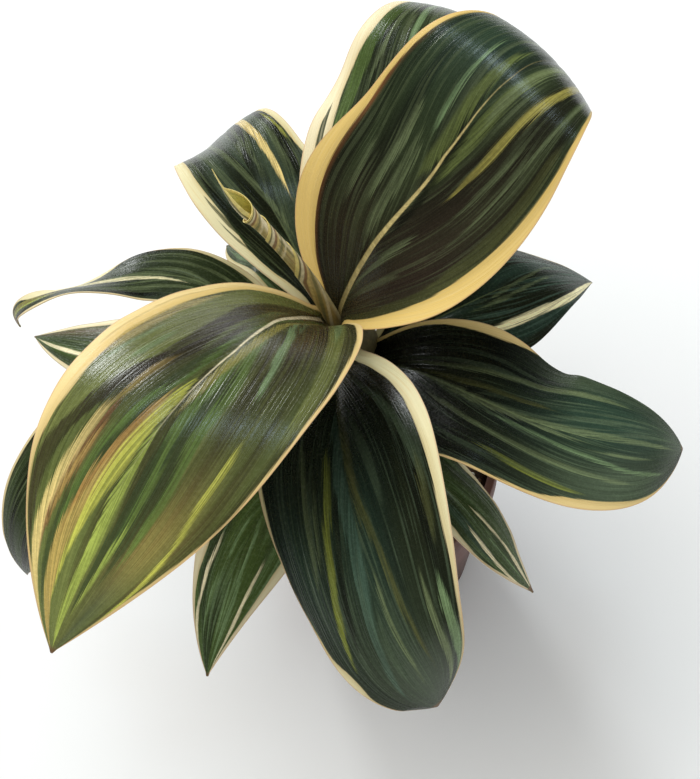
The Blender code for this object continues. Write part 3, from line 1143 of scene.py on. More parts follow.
LEAF_COLOURS = {
    "leaf_01": LeafColours(
        deep=Tone.DEEP, body=Tone.FOREST, streak=Tone.GREY_GREEN, margin=Tone.HONEY, rib=Tone.KHAKI,
        rib_width=0.7, rib_end=0.66, lining=0.85, bands=0.6, streaks=0.22, lines=0.22,
        light=((0, 65), (12, 90), (22, 120), (55, 120), (70, 150), (100, 150)),
        left=((0, 68), (10, 72), (15, 75), (20, 80), (25, 85), (30, 89), (40, 93), (50, 94), (60, 92),
              (75, 95), (100, 95)),
        right=((0, 78), (10, 80), (20, 81), (30, 83), (40, 88), (50, 94), (60, 95.5), (100, 96)),
        rib_path=((0, 0), (10, 2), (20, 2), (30, 4), (40, 5), (50, -1), (60, -9), (72, -13), (100, -10)),
        washes=(Wash(Tone.COCOA, (16, -50), (34, 50), 0.95), Wash(Tone.COCOA, (8, 40), (16, 40), 0.75),
                # The blue-green patch towards the tip is partly painted sheen: the bluish tint of
                # reflected light.
                Wash(Tone.BLUE_GREEN, (68, 40), (20, 60), 0.6)),
        stripes=(
            Stripe(Tone.DARK_OLIVE, ((0, -70, 6), (20, -76, 5), (30, -76, 5), (40, -80, 3.5),
                (50, -85, 2), (56, -88, 0))),
            Stripe(Tone.BRASS, ((31, -20, 0), (38, -26, 0.8), (43, -31, 1.6), (50, -39.5, 2.8),
                (60, -53, 3.6), (66, -60, 3.8), (76, -62, 3), (88, -64, 0))),
            Stripe(Tone.GREY_GREEN, ((20, 30, 0), (26, 37, 1.2), (32, 43, 2), (38, 46, 2.2), (45, 49, 1),
                (49, 50, 0)), 0.85),
            Stripe(Tone.GREY_GREEN, ((16, 48, 0), (22, 54, 0.8), (30, 63, 0.8), (35, 66, 0)), 0.6),
            Stripe(Tone.GREY_GREEN, ((12, 12, 0), (20, 19, 1), (28, 27, 1.2), (36, 33, 1), (46, 38, 0)),
                0.65),
            Stripe(Tone.GREY_GREEN, ((8, 6, 0), (18, 13, 1), (27, 20, 1.2), (36, 27, 0.8), (42, 30, 0)),
                0.65),
            Stripe(Tone.PALE_GREEN, ((40, 25, 0), (46, 26, 0.8), (52, 26, 1), (60, 28, 0.8), (70, 36, 0)),
                0.6),
            Stripe(Tone.OLIVE, ((30, 12, 0), (37, 13, 2.2), (45, 11, 3.4), (54, 8, 3.4), (62, 5, 2.4),
                (72, 2, 0)), 0.75, 0.05),
            Stripe(Tone.OLIVE, ((31, 0, 0), (38, -3, 2.4), (44, -8, 3.2), (50, -14, 4.2), (56, -20, 4.4),
                (64, -28, 3.4), (76, -32, 0)), 0.75, 0.05),
            Stripe(Tone.GREY_GREEN, ((46, -12, 0), (54, -19, 2.4), (62, -27, 3.6), (72, -31, 3.4),
                (86, -33, 0)), 0.8, 0.05),
            Stripe(Tone.GREY_GREEN, ((66, 26, 0), (76, 20, 6), (90, 14, 8), (100, 12, 8)), 0.6, 0.08),
            Stripe(Tone.GREY_GREEN, ((28, -37, 0), (38, -42, 0.9), (46, -53, 1.2), (53, -63, 0)), 0.55),
            Stripe(Tone.GREY_GREEN, ((24, -50, 0), (35, -55, 0.7), (45, -63, 0.9), (53, -73, 1.1),
                (62, -81, 1.2), (72, -84, 1), (82, -86, 0)), 0.65),
            Stripe(Tone.GREY_GREEN, ((1, -6, 0), (8, -10, 1.5), (15, -16, 2), (21, -21, 2), (27, -24, 0)),
                0.6),
            Stripe(Tone.GREY_GREEN, ((3, -20, 0), (8, -28, 3), (14, -38, 3), (19, -45, 0)), 0.3),
            Stripe(Tone.BLACK_GREEN, ((18, -4, 0), (26, -4, 2), (36, 0, 2), (46, -3, 1.2), (56, -9, 0)),
                0.8),
            Stripe(Tone.FOREST, ((-8, 66, 4), (-4, 74, 6), (0, 80, 4), (3, 86, 0)), 0.95, 0.01, True),
        )),
    "leaf_02": LeafColours(
        deep=Tone.DARK_OLIVE, body=Tone.OLIVE, streak=Tone.GRASS, margin=Tone.CREAM, rib=Tone.IVORY,
        rib_width=0.6, rib_end=0.66, bands=0.8, streaks=0.2, lines=0.25,
        light=((0, 85), (40, 80), (55, 85), (70, 105), (80, 145), (100, 160)),
        left=((0, 93), (20, 92), (30, 95), (50, 97.5), (60, 97.5), (70, 98), (80, 96), (90, 93),
              (100, 93)),
        right=((0, 80), (10, 84), (30, 82), (45, 84), (60, 84), (66, 88), (75, 95), (82, 97), (90, 93),
               (100, 90)),
        rib_path=((0, -40), (5, -30), (10, -20), (15, -14), (20, -9), (25, -4), (30, -1), (40, 3.5),
                  (60, 4), (100, 3)),
        washes=(Wash(Tone.COCOA, (26, 52), (28, 36), 1.0), Wash(Tone.COCOA, (30, -30), (26, 26), 1.0),
                Wash(Tone.COCOA, (0, 10), (16, 60), 0.95), Wash(Tone.OCHRE, (78, 62), (12, 22), 0.35),
                Wash(Tone.GRASS, (96, 10), (14, 60), 0.5), Wash(Tone.SLATE, (92, 62), (8, 20), 0.6)),
        stripes=(
            Stripe(Tone.GRASS, ((-5, -66, 10), (10, -68, 14), (20, -65, 13), (30, -57, 14), (40, -55, 15),
                (50, -62, 16), (60, -72, 12), (70, -82, 7), (80, -92, 4), (90, -98, 0))),
            Stripe(Tone.GRASS, ((-5, 62, 18), (10, 67, 12), (20, 70, 9), (30, 77, 5.5), (40, 86, 5),
                (50, 92, 3), (58, 95, 0)), 0.85),
            Stripe(Tone.PALE_GREEN, ((3, 72, 0), (14, 70, 4), (22, 72, 3), (32, 78, 0)), 0.5),
            Stripe(Tone.KHAKI, ((18, -79, 0), (28, -76, 4), (36, -77, 5), (44, -78, 4), (53, -81, 0)),
                0.6),
            Stripe(Tone.LEAF_GREEN, ((28, 13, 0), (35, 17, 2), (42, 23, 3), (50, 33, 3.6), (58, 35, 3.6),
                (65, 40, 4), (71, 45, 3.6), (78, 48, 2), (86, 49, 0))),
            Stripe(Tone.LEAF_GREEN, ((30, 10, 0), (40, 13, 2.6), (50, 17, 3.4), (60, 18, 4.4),
                (66, 23, 4), (72, 28, 3.6), (80, 31, 2), (90, 30, 0))),
            Stripe(Tone.FOREST, ((40, 17, 0), (50, 25, 3), (60, 26.5, 3.2), (70, 36, 4.4), (80, 40, 3.6),
                (89, 42, 0))),
            Stripe(Tone.FOREST, ((58, 13, 0), (66, 18, 2), (72, 21.5, 3), (80, 24, 4.6), (88, 22, 3),
                (95, 18, 0))),
            Stripe(Tone.PALE_GREEN, ((12, 8, 0), (18, 15, 1.2), (25, 24, 2.2), (30, 33, 3), (36, 39, 2.8),
                (42, 46, 1.6), (47, 51, 0.8), (51, 55, 0)), 0.85),
            Stripe(Tone.PALE_GREEN, ((8, 16, 0), (16, 24, 0.8), (24, 33, 0.8), (30, 40, 0)), 0.5),
            Stripe(Tone.BRASS, ((-5, 6, 5), (10, 9, 5), (20, 8, 5), (30, 11, 4.4), (40, 12, 3.4),
                (50, 10, 2.6), (60, 8, 0)), 0.9),
            Stripe(Tone.LIME, ((55, 66, 0), (60, 69, 0.5), (70, 74.5, 0.8), (80, 86, 0.8), (88, 92, 0.8),
                (95, 96, 0)), 0.85),
            Stripe(Tone.SPRING, ((58, 4, 0), (66, 5, 2.4), (74, 6, 4.4), (82, 7, 6), (90, 3, 8),
                (97, 0, 8), (100, 0, 0)), 0.85),
            Stripe(Tone.SPRING, ((72, 33, 0), (80, 31, 1.4), (88, 29, 2), (96, 22, 0)), 0.6),
            Stripe(Tone.FOREST, ((38, -6, 3), (48, -10, 4.4), (55, -15, 5.4), (60, -17, 4.6),
                (66, -24, 4), (71, -29.5, 3), (76, -38, 4.4), (82, -50, 4.6), (88, -61, 4.6),
                (96, -80, 0)), 0.9),
            Stripe(Tone.OCHRE, ((51, -5, 0), (58, -9, 2), (65, -14, 3.6), (70, -20, 5.6), (76, -27, 7),
                (84, -39, 8.4), (91, -50, 10), (100, -66, 8)), 0.75, 0.035),
            Stripe(Tone.RUST, ((52, -6, 0), (60, -13, 1), (68, -20, 1.6), (76, -32, 1.6), (86, -46, 0)),
                0.45),
            Stripe(Tone.LIME, ((48, 0, 0), (53, -1, 2), (60, -3.5, 4.2), (66, -7, 5.4), (71, -10, 5),
                (77, -16, 3.6), (84, -25, 2.4), (94, -44, 0)), 0.85),
            Stripe(Tone.LEAF_GREEN, ((38, -6, 0.8), (50, -8, 1.6), (56, -18, 1.8), (62, -25, 2),
                (70, -33, 1.4), (78, -42, 1.2), (86, -54, 0)), 0.9),
            Stripe(Tone.CHIP, ((57, -38, 0), (64, -40, 2.4), (70, -45, 4.4), (76, -54, 4), (82, -66, 3),
                (88, -76, 0))),
            Stripe(Tone.OCHRE, ((60, -37, 0), (68, -41, 1), (76, -52, 1.4), (84, -68, 0)), 0.6),
            Stripe(Tone.SAND, ((56, -42, 0), (62, -46, 1), (70, -53, 2.8), (75, -60, 3.6), (80, -70, 5),
                (85, -79, 6.4), (90, -87, 6), (96, -96, 4)), 0.72, 0.035),
            Stripe(Tone.COCOA, ((44, -34, 0), (50, -41, 4), (55, -50, 5), (60, -57, 6), (65, -66, 5),
                (70, -77, 6), (75, -85, 6), (81, -91, 5), (88, -96, 0))),
            Stripe(Tone.OCHRE, ((43, -26, 0), (50, -33, 2.6), (56, -38, 2.6), (62, -43, 0)), 0.4),
            Stripe(Tone.PALE_GREEN, ((36, -50, 0), (42, -52, 0.8), (48, -56, 1), (53, -61, 0)), 0.7),
            Stripe(Tone.PALE_GREEN, ((34, -62, 0), (42, -67, 0.8), (50, -75, 1), (56, -80, 0)), 0.7),
            Stripe(Tone.OLIVE, ((8, -38, 0), (16, -27, 1.2), (26, -21.5, 1.8), (38, -18, 1),
                (47, -16, 0)), 0.8),
            Stripe(Tone.GREY_GREEN, ((8, -32, 0), (18, -22, 4), (26, -12, 4.4), (34, -6, 3), (42, -3, 0)),
                0.6),
            Stripe(Tone.GOLD, ((5, -86, 0), (20, -87, 3), (35, -85, 4), (50, -87, 3), (62, -90, 0)), 0.6,
                0.02, True),
            Stripe(Tone.OCHRE, ((8, -91, 0), (25, -91.5, 0.6), (45, -92, 0.6), (58, -94, 0)), 0.7, 0.01,
                True),
        )),
    "leaf_03": LeafColours(
        deep=Tone.DEEP, body=Tone.FOREST, margin=Tone.IVORY, rib=Tone.OLIVE,
        light=((0, 80), (15, 150), (50, 130), (100, 110)), shine=0.28,
        left=((0, 55), (15, 66), (25, 74), (32, 72), (40, 77), (48, 84), (56, 85), (66, 81), (75, 80),
              (90, 88), (100, 90)),
        right=((0, 60), (30, 86), (100, 94)),
        stripes=(
            Stripe(Tone.FOREST, ((15, 78, 0), (23, 80, 3), (30, 82, 3.5), (36, 85, 3), (44, 89, 0)), 1,
                0.01, True),
            Stripe(Tone.LEAF_GREEN, ((20, 62, 0), (40, 70, 5), (55, 75, 8), (75, 71, 8), (90, 75, 0)),
                0.45),
            Stripe(Tone.GREY_GREEN, ((45, 56, 0), (60, 56, 2), (75, 56, 2), (90, 60, 0)), 0.7),
            Stripe(Tone.PALE_GREEN, ((55, 25, 0), (65, 27, 3), (78, 32, 4), (95, 36, 0)), 0.6),
        )),
    "leaf_04": LeafColours(
        deep=Tone.BLACK_GREEN, body=Tone.DEEP, streak=Tone.SLATE, margin=Tone.PALE_CREAM,
        rib=Tone.DARK_OLIVE, rib_width=0.5, rib_end=0.6, bands=0.8, streaks=0.45, lines=0.4,
        light=((0, 40), (25, 45), (45, 82), (65, 165), (100, 190)), shine=0.28,
        left=((0, 50), (8, 56), (15, 66), (20, 71), (25, 76), (30, 79), (40, 83), (50, 88), (60, 90),
              (70, 94.5), (85, 96), (100, 95)),
        right=((0, 60), (20, 90), (40, 95), (80, 95.5), (86, 86), (92, 96), (100, 95)),
        washes=(Wash(Tone.BLUE_GREEN, (60, 0), (25, 35), 0.6), Wash(Tone.SLATE, (90, 10), (16, 70), 0.6),
                Wash(Tone.BLUE_GREEN, (60, -75), (20, 25), 0.6)),
        stripes=(
            Stripe(Tone.SLATE, ((10, 20, 0), (20, 34, 3), (30, 52, 3.6), (40, 67, 3.4), (50, 77, 3),
                (56, 82, 0))),
            Stripe(Tone.GREY_GREEN, ((66, 60, 0), (75, 64, 2), (85, 71, 4), (93, 78, 3), (98, 85, 0)),
                0.8),
            Stripe(Tone.PALE_GREEN, ((68, 78, 0), (76, 83, 5), (86, 90, 5), (95, 95, 0)), 0.55),
            Stripe(Tone.DARK_OLIVE, ((42, 3, 0), (50, 7.5, 1.5), (56, 12, 2.5), (65, 23, 2.5),
                (72, 30, 2.5), (80, 38.5, 2), (92, 48, 0))),
            Stripe(Tone.GREY_GREEN, ((64, 7, 0), (70, 9.5, 1), (78, 13, 1.2), (86, 15.5, 1.4),
                (94, 11, 0)), 0.7),
            Stripe(Tone.DARK_OLIVE, ((20, 3, 0), (30, 4, 2.5), (50, 5, 3), (62, 6, 0)), 0.85),
            Stripe(Tone.DARK_OLIVE, ((45, 75, 0), (52, 78, 3), (60, 80, 2.5), (66, 82, 0)), 0.7),
            # Painted sheen: the blue-grey streak beside the midrib stands in for the light reflected
            # there.
            Stripe(Tone.BLUE_GREY, ((26, -2, 0), (36, -5, 3), (46, -8, 5), (56, -7, 5.5), (66, -8, 6),
                (76, -15, 5), (88, -30, 3), (96, -50, 0)), 0.4),
            Stripe(Tone.MOSS, ((37, -15, 0), (42, -19, 1.2), (50, -26, 2.4), (55, -31.5, 3),
                (60, -37, 2.8), (65, -41.5, 3), (70, -49, 3), (75, -56, 3), (80, -64, 1.8), (86, -75, 0)),
                0.62),
            Stripe(Tone.BLACK_GREEN, ((45, -14, 0), (55, -20, 2), (65, -30, 3), (75, -42, 2),
                (85, -55, 0)), 0.8),
            Stripe(Tone.GREY_GREEN, ((30, -42, 0), (42, -46, 1), (52, -52, 1.4), (62, -60, 1.4),
                (70, -68, 0)), 0.55),
            Stripe(Tone.GREY_GREEN, ((40, -36, 0), (50, -41, 1), (60, -50, 1.2), (66, -56, 0)), 0.4),
        )),
    "leaf_05": LeafColours(
        deep=Tone.DEEP, body=Tone.SLATE, streak=Tone.GREY_GREEN, margin=Tone.PALE_CREAM,
        rib=Tone.GREY_GREEN, rib_width=0.4, rib_end=0.5, bands=0.75,
        light=((0, 90), (40, 92), (60, 95), (100, 90)), shine=0.18,
        left=((0, 45), (5, 56), (10, 68), (16, 80), (20, 80), (28, 73), (34, 74), (42, 79), (50, 82),
              (60, 88), (70, 95), (100, 95)),
        right=((0, 70), (20, 86), (45, 89), (60, 87), (72, 87), (85, 92), (100, 90)),
        stripes=(
            Stripe(Tone.FOREST, ((20, 70, 0), (28, 75, 2.8), (34, 79, 1.8), (39, 83, 0)), 1, 0.01, True),
            Stripe(Tone.FOREST, ((18, 78, 0), (24, 82, 2), (32, 87, 0)), 1, 0.01, True),
            Stripe(Tone.GREY_GREEN, ((15, -10, 0), (25, -6, 2), (35, 3, 3), (45, 15, 4), (55, 28, 4.5),
                (65, 40, 5), (75, 50, 5), (95, 60, 0)), 0.8),
            Stripe(Tone.SAND, ((27, -34, 0), (33, -35, 1), (40, -37, 2), (48, -39, 3.8), (58, -40, 5),
                (66, -38, 6.5), (74, -40, 7.5), (82, -48, 6), (92, -60, 0)), 0.95),
            Stripe(Tone.LIME, ((50, -83, 0), (58, -81, 1.2), (66, -79, 1.2), (74, -80, 0)), 0.6),
            Stripe(Tone.GREY_GREEN, ((30, -55, 0), (45, -60, 2), (60, -62, 3), (80, -66, 0)), 0.6),
            Stripe(Tone.GREY_GREEN, ((35, -15, 0), (50, -14, 2), (65, -12, 3), (85, -15, 0)), 0.6),
        )),
    "leaf_06": LeafColours(
        deep=Tone.BLACK_GREEN, body=Tone.DEEP, streak=Tone.SLATE, margin=Tone.CREAM, rib=Tone.GREY_GREEN,
        rib_width=0.45, rib_end=0.9, bands=0.8, streaks=0.5, lines=0.5,
        light=((0, 25), (20, 30), (35, 60), (50, 100), (65, 195), (100, 225)), shine=0.22,
        left=((0, 80), (10, 90), (20, 90), (28, 86), (34, 87), (39, 93), (44, 100), (50, 105),
              (100, 105)),
        right=((0, 80), (20, 95), (50, 97), (60, 95), (66, 88), (72, 87.5), (80, 92), (87, 95),
               (100, 96)),
        # The slate patch on the right towards the tip is partly painted sheen, a lighter blue-grey where
        # the blade reflects the light.
        washes=(Wash(Tone.BLUE_GREEN, (75, 30), (25, 70), 0.75), Wash(Tone.SLATE, (62, 88), (20, 15),
                0.6), Wash(Tone.SLATE, (74, -72), (16, 36), 0.7), Wash(Tone.SLATE, (100, 30), (12, 80),
                0.5)),
        stripes=(
            Stripe(Tone.GREY_GREEN, ((12, 12, 0), (20, 19, 1.8), (30, 29, 2.2), (40, 43, 2.2),
                (50, 56, 2.6), (60, 63.5, 3), (72, 67, 2.6), (85, 70, 0)), 0.62),
            Stripe(Tone.DARK_OLIVE, ((15, 4, 0), (28, 10, 2), (40, 18, 2), (52, 24, 1.5), (62, 28, 0)),
                0.8),
            Stripe(Tone.GREY_GREEN, ((10, 0, 1), (30, 0, 1.8), (50, 0, 2), (65, 5, 3), (80, 6, 3.4),
                (90, 0, 3), (97, -15, 0)), 0.55),
            Stripe(Tone.GREY_GREEN, ((20, -5, 0), (35, -6, 1.2), (50, -6, 1.2), (65, -8, 1.2),
                (75, -13, 0)), 0.65),
            Stripe(Tone.PALE_GREEN, ((40, -14, 0), (50, -17, 0.8), (60, -22, 1.2), (70, -31, 1.6),
                (78, -45, 2), (85, -57, 2), (92, -74, 0)), 0.3),
            Stripe(Tone.GREY_GREEN, ((22, -22, 0), (32, -28, 1.4), (42, -37, 1.4), (52, -45, 1.2),
                (64, -50, 1.2), (75, -60, 1), (82, -70, 0)), 0.5),
            Stripe(Tone.MOSS, ((44, -64, 0), (50, -68, 1.2), (57, -74, 2), (63, -78, 2), (70, -84, 0)),
                0.5),
            Stripe(Tone.GREY_GREEN, ((66, -20, 0), (74, -20, 1.2), (82, -25, 1.4), (88, -30, 0)), 0.5),
        )),
    "leaf_07": LeafColours(
        deep=Tone.BLACK_GREEN, body=Tone.FOREST, margin=Tone.PALE_CREAM, rib=Tone.GREY_GREEN, shine=0.2,
        dry_tip=0.94,
        left=((0, 70), (20, 86), (35, 92), (60, 94), (72, 90), (80, 80), (90, 84), (100, 70)),
        right=((0, 70), (20, 84), (30, 86), (40, 93), (52, 99), (58, 80), (64, 45), (72, 15), (80, 10),
               (86, 40), (92, 80), (100, 80)),
        stripes=(
            Stripe(Tone.GREY_GREEN, ((12, -40, 0), (20, -42, 2), (32, -45, 3), (44, -50, 3),
                (54, -60, 0)), 0.7),
            Stripe(Tone.PALE_CREAM, ((34, 22, 0), (42, 16, 3), (50, 8, 7), (58, 0, 10), (66, -10, 10),
                (74, -20, 0)), 0.8),
            Stripe(Tone.GREY_GREEN, ((24, 30, 0), (34, 36, 4), (46, 45, 5), (58, 50, 0)), 0.6),
            Stripe(Tone.BRASS, ((70, 30, 0), (78, 20, 14), (88, 5, 30), (100, 0, 40)), 0.7, 0.1),
            Stripe(Tone.SPRING, ((74, 35, 0), (82, 30, 6), (90, 20, 8), (100, 0, 8)), 0.7),
        )),
    "leaf_08": LeafColours(
        deep=Tone.DEEP, body=Tone.BLUE_GREEN, streak=Tone.BLUE_GREY, margin=Tone.PALE_CREAM,
        rib=Tone.GREY_GREEN, rib_width=0.35, bands=0.8, streaks=0.5,
        light=((0, 50), (40, 150), (100, 150)), shine=0.22,
        left=((0, 70), (30, 90), (100, 94)),
        right=((0, 70), (30, 97), (100, 97)),
        stripes=(
            Stripe(Tone.PALE_CREAM, ((25, -50, 0), (35, -53.5, 3), (45, -56, 4), (50, -59, 4.5),
                (60, -65.5, 5.5), (70, -73.5, 7), (80, -77, 10), (88, -75, 12), (100, -70, 20)), 1),
            Stripe(Tone.GREY_GREEN, ((30, -12, 0), (45, -17, 2), (55, -16, 2), (70, -6, 2), (80, 5, 0)),
                0.6),
            Stripe(Tone.GREY_GREEN, ((35, -10, 0), (50, -5, 1.5), (62, 5, 2), (75, 30, 2), (85, 50, 0)),
                0.5),
        )),
    "leaf_09": LeafColours(
        deep=Tone.DEEP, body=Tone.FOREST, margin=Tone.PALE_CREAM, rib=Tone.OLIVE, bands=0.8, shine=0.2,
        left=((0, 70), (30, 90), (100, 93)),
        right=((0, 70), (30, 90), (100, 90))),
    "leaf_10": LeafColours(
        deep=Tone.FOREST, body=Tone.LEAF_GREEN, streak=Tone.PALE_GREEN, margin=Tone.IVORY,
        rib=Tone.FOREST, bands=0.45, streaks=0.35,
        left=((0, 70), (30, 82), (60, 81), (70, 82), (80, 85), (90, 84), (100, 70)),
        right=((0, 60), (40, 70), (60, 73), (66, 75), (72, 83), (80, 90), (90, 92), (100, 70)),
        stripes=(
            Stripe(Tone.IVORY, ((60, 50, 0), (70, 54, 2), (78, 60, 3), (86, 68, 5), (95, 72, 3),
                (100, 70, 0)), 0.85),
            Stripe(Tone.PALE_GREEN, ((52, 9, 0), (60, 13, 2), (70, 20, 2.5), (78, 30, 5), (85, 34, 7),
                (95, 36, 5), (100, 30, 0)), 0.7),
            Stripe(Tone.PALE_GREEN, ((68, 0, 0), (76, 5, 3), (86, 12, 3.5), (95, 10, 0)), 0.7),
            Stripe(Tone.PALE_GREEN, ((48, -14, 0), (56, -16, 1), (64, -19, 1.2), (70, -20, 0)), 0.6),
            Stripe(Tone.PALE_GREEN, ((68, -31, 0), (76, -37, 2), (84, -46, 2.5), (92, -60, 0)), 0.6),
            Stripe(Tone.IVORY, ((58, -50, 0), (64, -53, 1.5), (70, -60, 3), (78, -70, 3.5), (84, -82, 4),
                (92, -90, 3), (100, -90, 0)), 0.95),
        )),
    "leaf_11": LeafColours(
        deep=Tone.FOREST, body=Tone.GREY_GREEN, streak=Tone.PALE_GREEN, margin=Tone.PALE_CREAM,
        rib=Tone.OLIVE, shine=0.1,
        light=((0, 90), (100, 110)),
        left=((0, 70), (40, 78), (80, 76), (100, 84)),
        right=((0, 90), (40, 95), (100, 93)),
        stripes=(
            Stripe(Tone.PALE_GREEN, ((40, 45, 0), (60, 50, 8), (80, 48, 10), (98, 40, 0)), 0.6, 0.06),
        )),
    "leaf_12": LeafColours(
        deep=Tone.FOREST, body=Tone.LEAF_GREEN, streak=Tone.PALE_GREEN, margin=Tone.IVORY, rib=Tone.OLIVE,
        bands=0.3, streaks=0.2, dry_tip=0.965,
        left=((0, 70), (30, 82), (45, 85), (60, 93), (75, 90), (85, 78), (100, 60)),
        right=((0, 70), (40, 78), (60, 79), (68, 87), (76, 93), (85, 86), (100, 60)),
        stripes=(
            Stripe(Tone.IVORY, ((58, 8, 0), (64, 12, 2), (70, 16, 2.6), (76, 22, 3.4), (83, 29, 7),
                (90, 30, 13), (100, 25, 15)), 0.85),
            Stripe(Tone.PALE_GREEN, ((68, -15, 0), (76, -12, 2), (86, -8, 4), (96, -5, 0)), 0.8),
            Stripe(Tone.GREY_GREEN, ((52, 28, 0), (62, 31, 3), (72, 38, 3), (80, 42, 0)), 0.6),
            Stripe(Tone.BLUE_GREY, ((45, -40, 0), (56, -42, 10), (66, -50, 14), (78, -60, 10),
                (88, -70, 0)), 0.5),
            Stripe(Tone.IVORY, ((62, -41, 0), (67, -45, 2), (72, -50, 5), (78, -58, 6.5), (84, -67, 6.5),
                (92, -80, 6), (100, -80, 0)), 0.9),
        )),
    "leaf_13": LeafColours(
        deep=Tone.FOREST, body=Tone.LEAF_GREEN, margin=Tone.IVORY, rib=Tone.OLIVE, edge=Tone.UMBER,
        bands=0.4,
        left=((0, 70), (40, 86), (100, 80)),
        right=((0, 70), (40, 80), (100, 72)),
        washes=(Wash(Tone.UMBER, (85, -60), (25, 25), 0.6),),
        stripes=(
            Stripe(Tone.IVORY, ((50, 20, 0), (65, 28, 3), (80, 36, 6), (92, 40, 10), (100, 40, 0)), 0.85),
        )),
}


# The rolled leaf

@dataclass
class RolledLeaf:
    """The youngest leaf, rolled into a slim leaning spear that opens at its throat.

    The wraps are (along, degrees) keys: how far the sheet reaches round the roll from its
    middle line, on its outer side and on the side tucked inside.  sizes are the roll's
    (along, radius) keys in millimetres, and bands are the colours beside its outer edge as
    (colour, from, to, strength), also in millimetres.
    """
    effects: Effects
    azimuth: float = 172.0
    lean: float = 19.5
    length: float = 80.1
    foot_z: float = 182.3
    sink: float = 6.0
    bow: tuple[float, float] = (0.55, 0.45)
    turn: tuple[float, float] = (10.0, 42.0)
    outer_wrap: Keys = ((0, 1230), (0.34, 1113), (0.5, 933), (0.58, 780), (0.64, 663), (0.7, 520),
                        (0.765, 310), (0.8, 215), (0.855, 140), (0.9, 80), (0.94, 50), (1, 10))
    inner_wrap: Keys = ((0, 320), (0.5, 270), (0.72, 130), (0.8, 80), (0.93, 45), (1, 10))
    sizes: Keys = ((0, 1.9), (0.3, 1.75), (0.6, 1.7), (0.7, 1.8), (0.76, 2.15), (0.82, 2.2),
                   (0.87, 1.85), (0.92, 1.15), (1, 0.2))
    tip_sway: tuple[float, float] = (1.8, 3.0)
    sway_start: float = 0.7
    bands: tuple[tuple[Tone, float, float, float], ...] = (
        (Tone.GREY_GREEN, 1.1, 2.1, 0.75), (Tone.IVORY, 2.1, 3.3, 0.8),
        (Tone.CLAY_BLOOM, 3.3, 4.5, 0.7), (Tone.SAND, 4.5, 5.3, 0.7),
        (Tone.GREY_GREEN, 6.2, 7.2, 0.6), (Tone.IVORY, 8.0, 8.8, 0.6))
    layer_gap: float = 0.26
    core: float = 0.35
    lip: float = 0.55
    lip_width: float = 0.16
    lip_middle: float = 0.755
    lip_reach: float = 0.07
    thickness: float = 0.24
    grain: float = 900.0
    relief: float = 0.00012
    rows: int = 190
    columns: int = 150

    def wrap(self, t: np.ndarray, x: np.ndarray) -> np.ndarray:
        """Give how far round the roll each place lies from the middle line.

        Args:
            t: shares along the spear.
            x: shares across the sheet.

        Returns:
            The angles in degrees.
        """
        outer = np.interp(t, *np.array(self.outer_wrap).T)
        inner = np.interp(t, *np.array(self.inner_wrap).T)
        return np.where(x < 0, x * outer, x * inner)

    def radius(self, t: np.ndarray, x: np.ndarray) -> np.ndarray:
        """Give the roll's radius at each place.

        Args:
            t: shares along the spear.
            x: shares across the sheet.

        Returns:
            The radii in millimetres.
        """
        size = along_keys(self.sizes, t)
        spread = size - self.layer_gap * self.wrap(t, x) / 360 - self.layer_gap * 0.6
        lip = (self.lip * np.exp(-((1 + x) / self.lip_width) ** 2)
               * np.exp(-((t - self.lip_middle) / self.lip_reach) ** 2))
        return np.maximum(spread, self.core * size) + lip

    def axis(self, t: np.ndarray) -> tuple[np.ndarray, np.ndarray, np.ndarray]:
        """Give the spear's middle line.

        Args:
            t: shares along the spear.

        Returns:
            Its points in millimetres, and the two directions across it.
        """
        bow = np.radians(self.lean) * (self.bow[0] + self.bow[1] * t)
        out = self.length * t * np.sin(bow)
        high = self.foot_z + self.length * t * np.cos(bow) - self.sink * (1 - t) ** 3
        heading = math.radians(self.azimuth)
        ahead = np.array([math.cos(heading), math.sin(heading), 0.0])
        beside = np.array([-math.sin(heading), math.cos(heading), 0.0])
        upright = np.array([0, 0, 1.0])
        tilt = np.cos(bow)[:, None] * ahead - np.sin(bow)[:, None] * upright
        points = out[:, None] * ahead + high[:, None] * upright
        late = np.clip((t - self.sway_start) / (1 - self.sway_start), 0, 1) ** 2
        points[:, :2] += late[:, None] * np.array(self.tip_sway)
        return points, tilt, np.repeat(beside[None], len(t), 0)

    def place(self, t: np.ndarray, x: np.ndarray) -> np.ndarray:
        """Roll the sheet up round the spear's leaning axis.

        Args:
            t: shares along the spear.
            x: shares across the sheet.

        Returns:
            The points in metres.
        """
        points, tilt, beside = self.axis(t)
        angle = np.radians(self.turn[0] + (self.turn[1] - self.turn[0]) * t + self.wrap(t, x))
        radius = self.radius(t, x)
        points = points + (radius * np.cos(angle))[:, None] * tilt
        return (points + (radius * np.sin(angle))[:, None] * beside) * MM

    def build(self) -> None:
        """Build and dress the rolled leaf."""
        piece, row, column = laid_sheet(
            "new_leaf_roll", self.rows, self.columns,
            lambda r, c: self.place(r / self.rows, c / self.columns * 2 - 1))
        t, x = row / self.rows, column / self.columns * 2 - 1
        apply(piece, "SOLIDIFY", thickness=self.thickness * MM, offset=0.0)
        round_roll = np.radians(self.wrap(t, x)) * self.radius(t, x)
        reach = np.radians(self.wrap(t, np.where(x < 0, -1.0, 1.0)))
        edge = np.abs(reach) * self.radius(t, x) - np.abs(round_roll)
        points = np.array([vert.co for vert in piece.data.vertices]).reshape(2, -1, 3)
        near, far = np.linalg.norm(points - self.axis(t)[0] * MM, axis=2)
        inside = np.concatenate([near < far, far < near]).astype(float)
        t, x, vein, edge = (np.tile(part, 2) for part in (t, x, round_roll / 10, edge))
        set_attribute(piece, "lay", (t, x, vein))
        set_attribute(piece, "reach", (edge, edge * 0, inside))
        smooth(piece, 60)
        hand_over(piece, "new_leaf", self.dress())

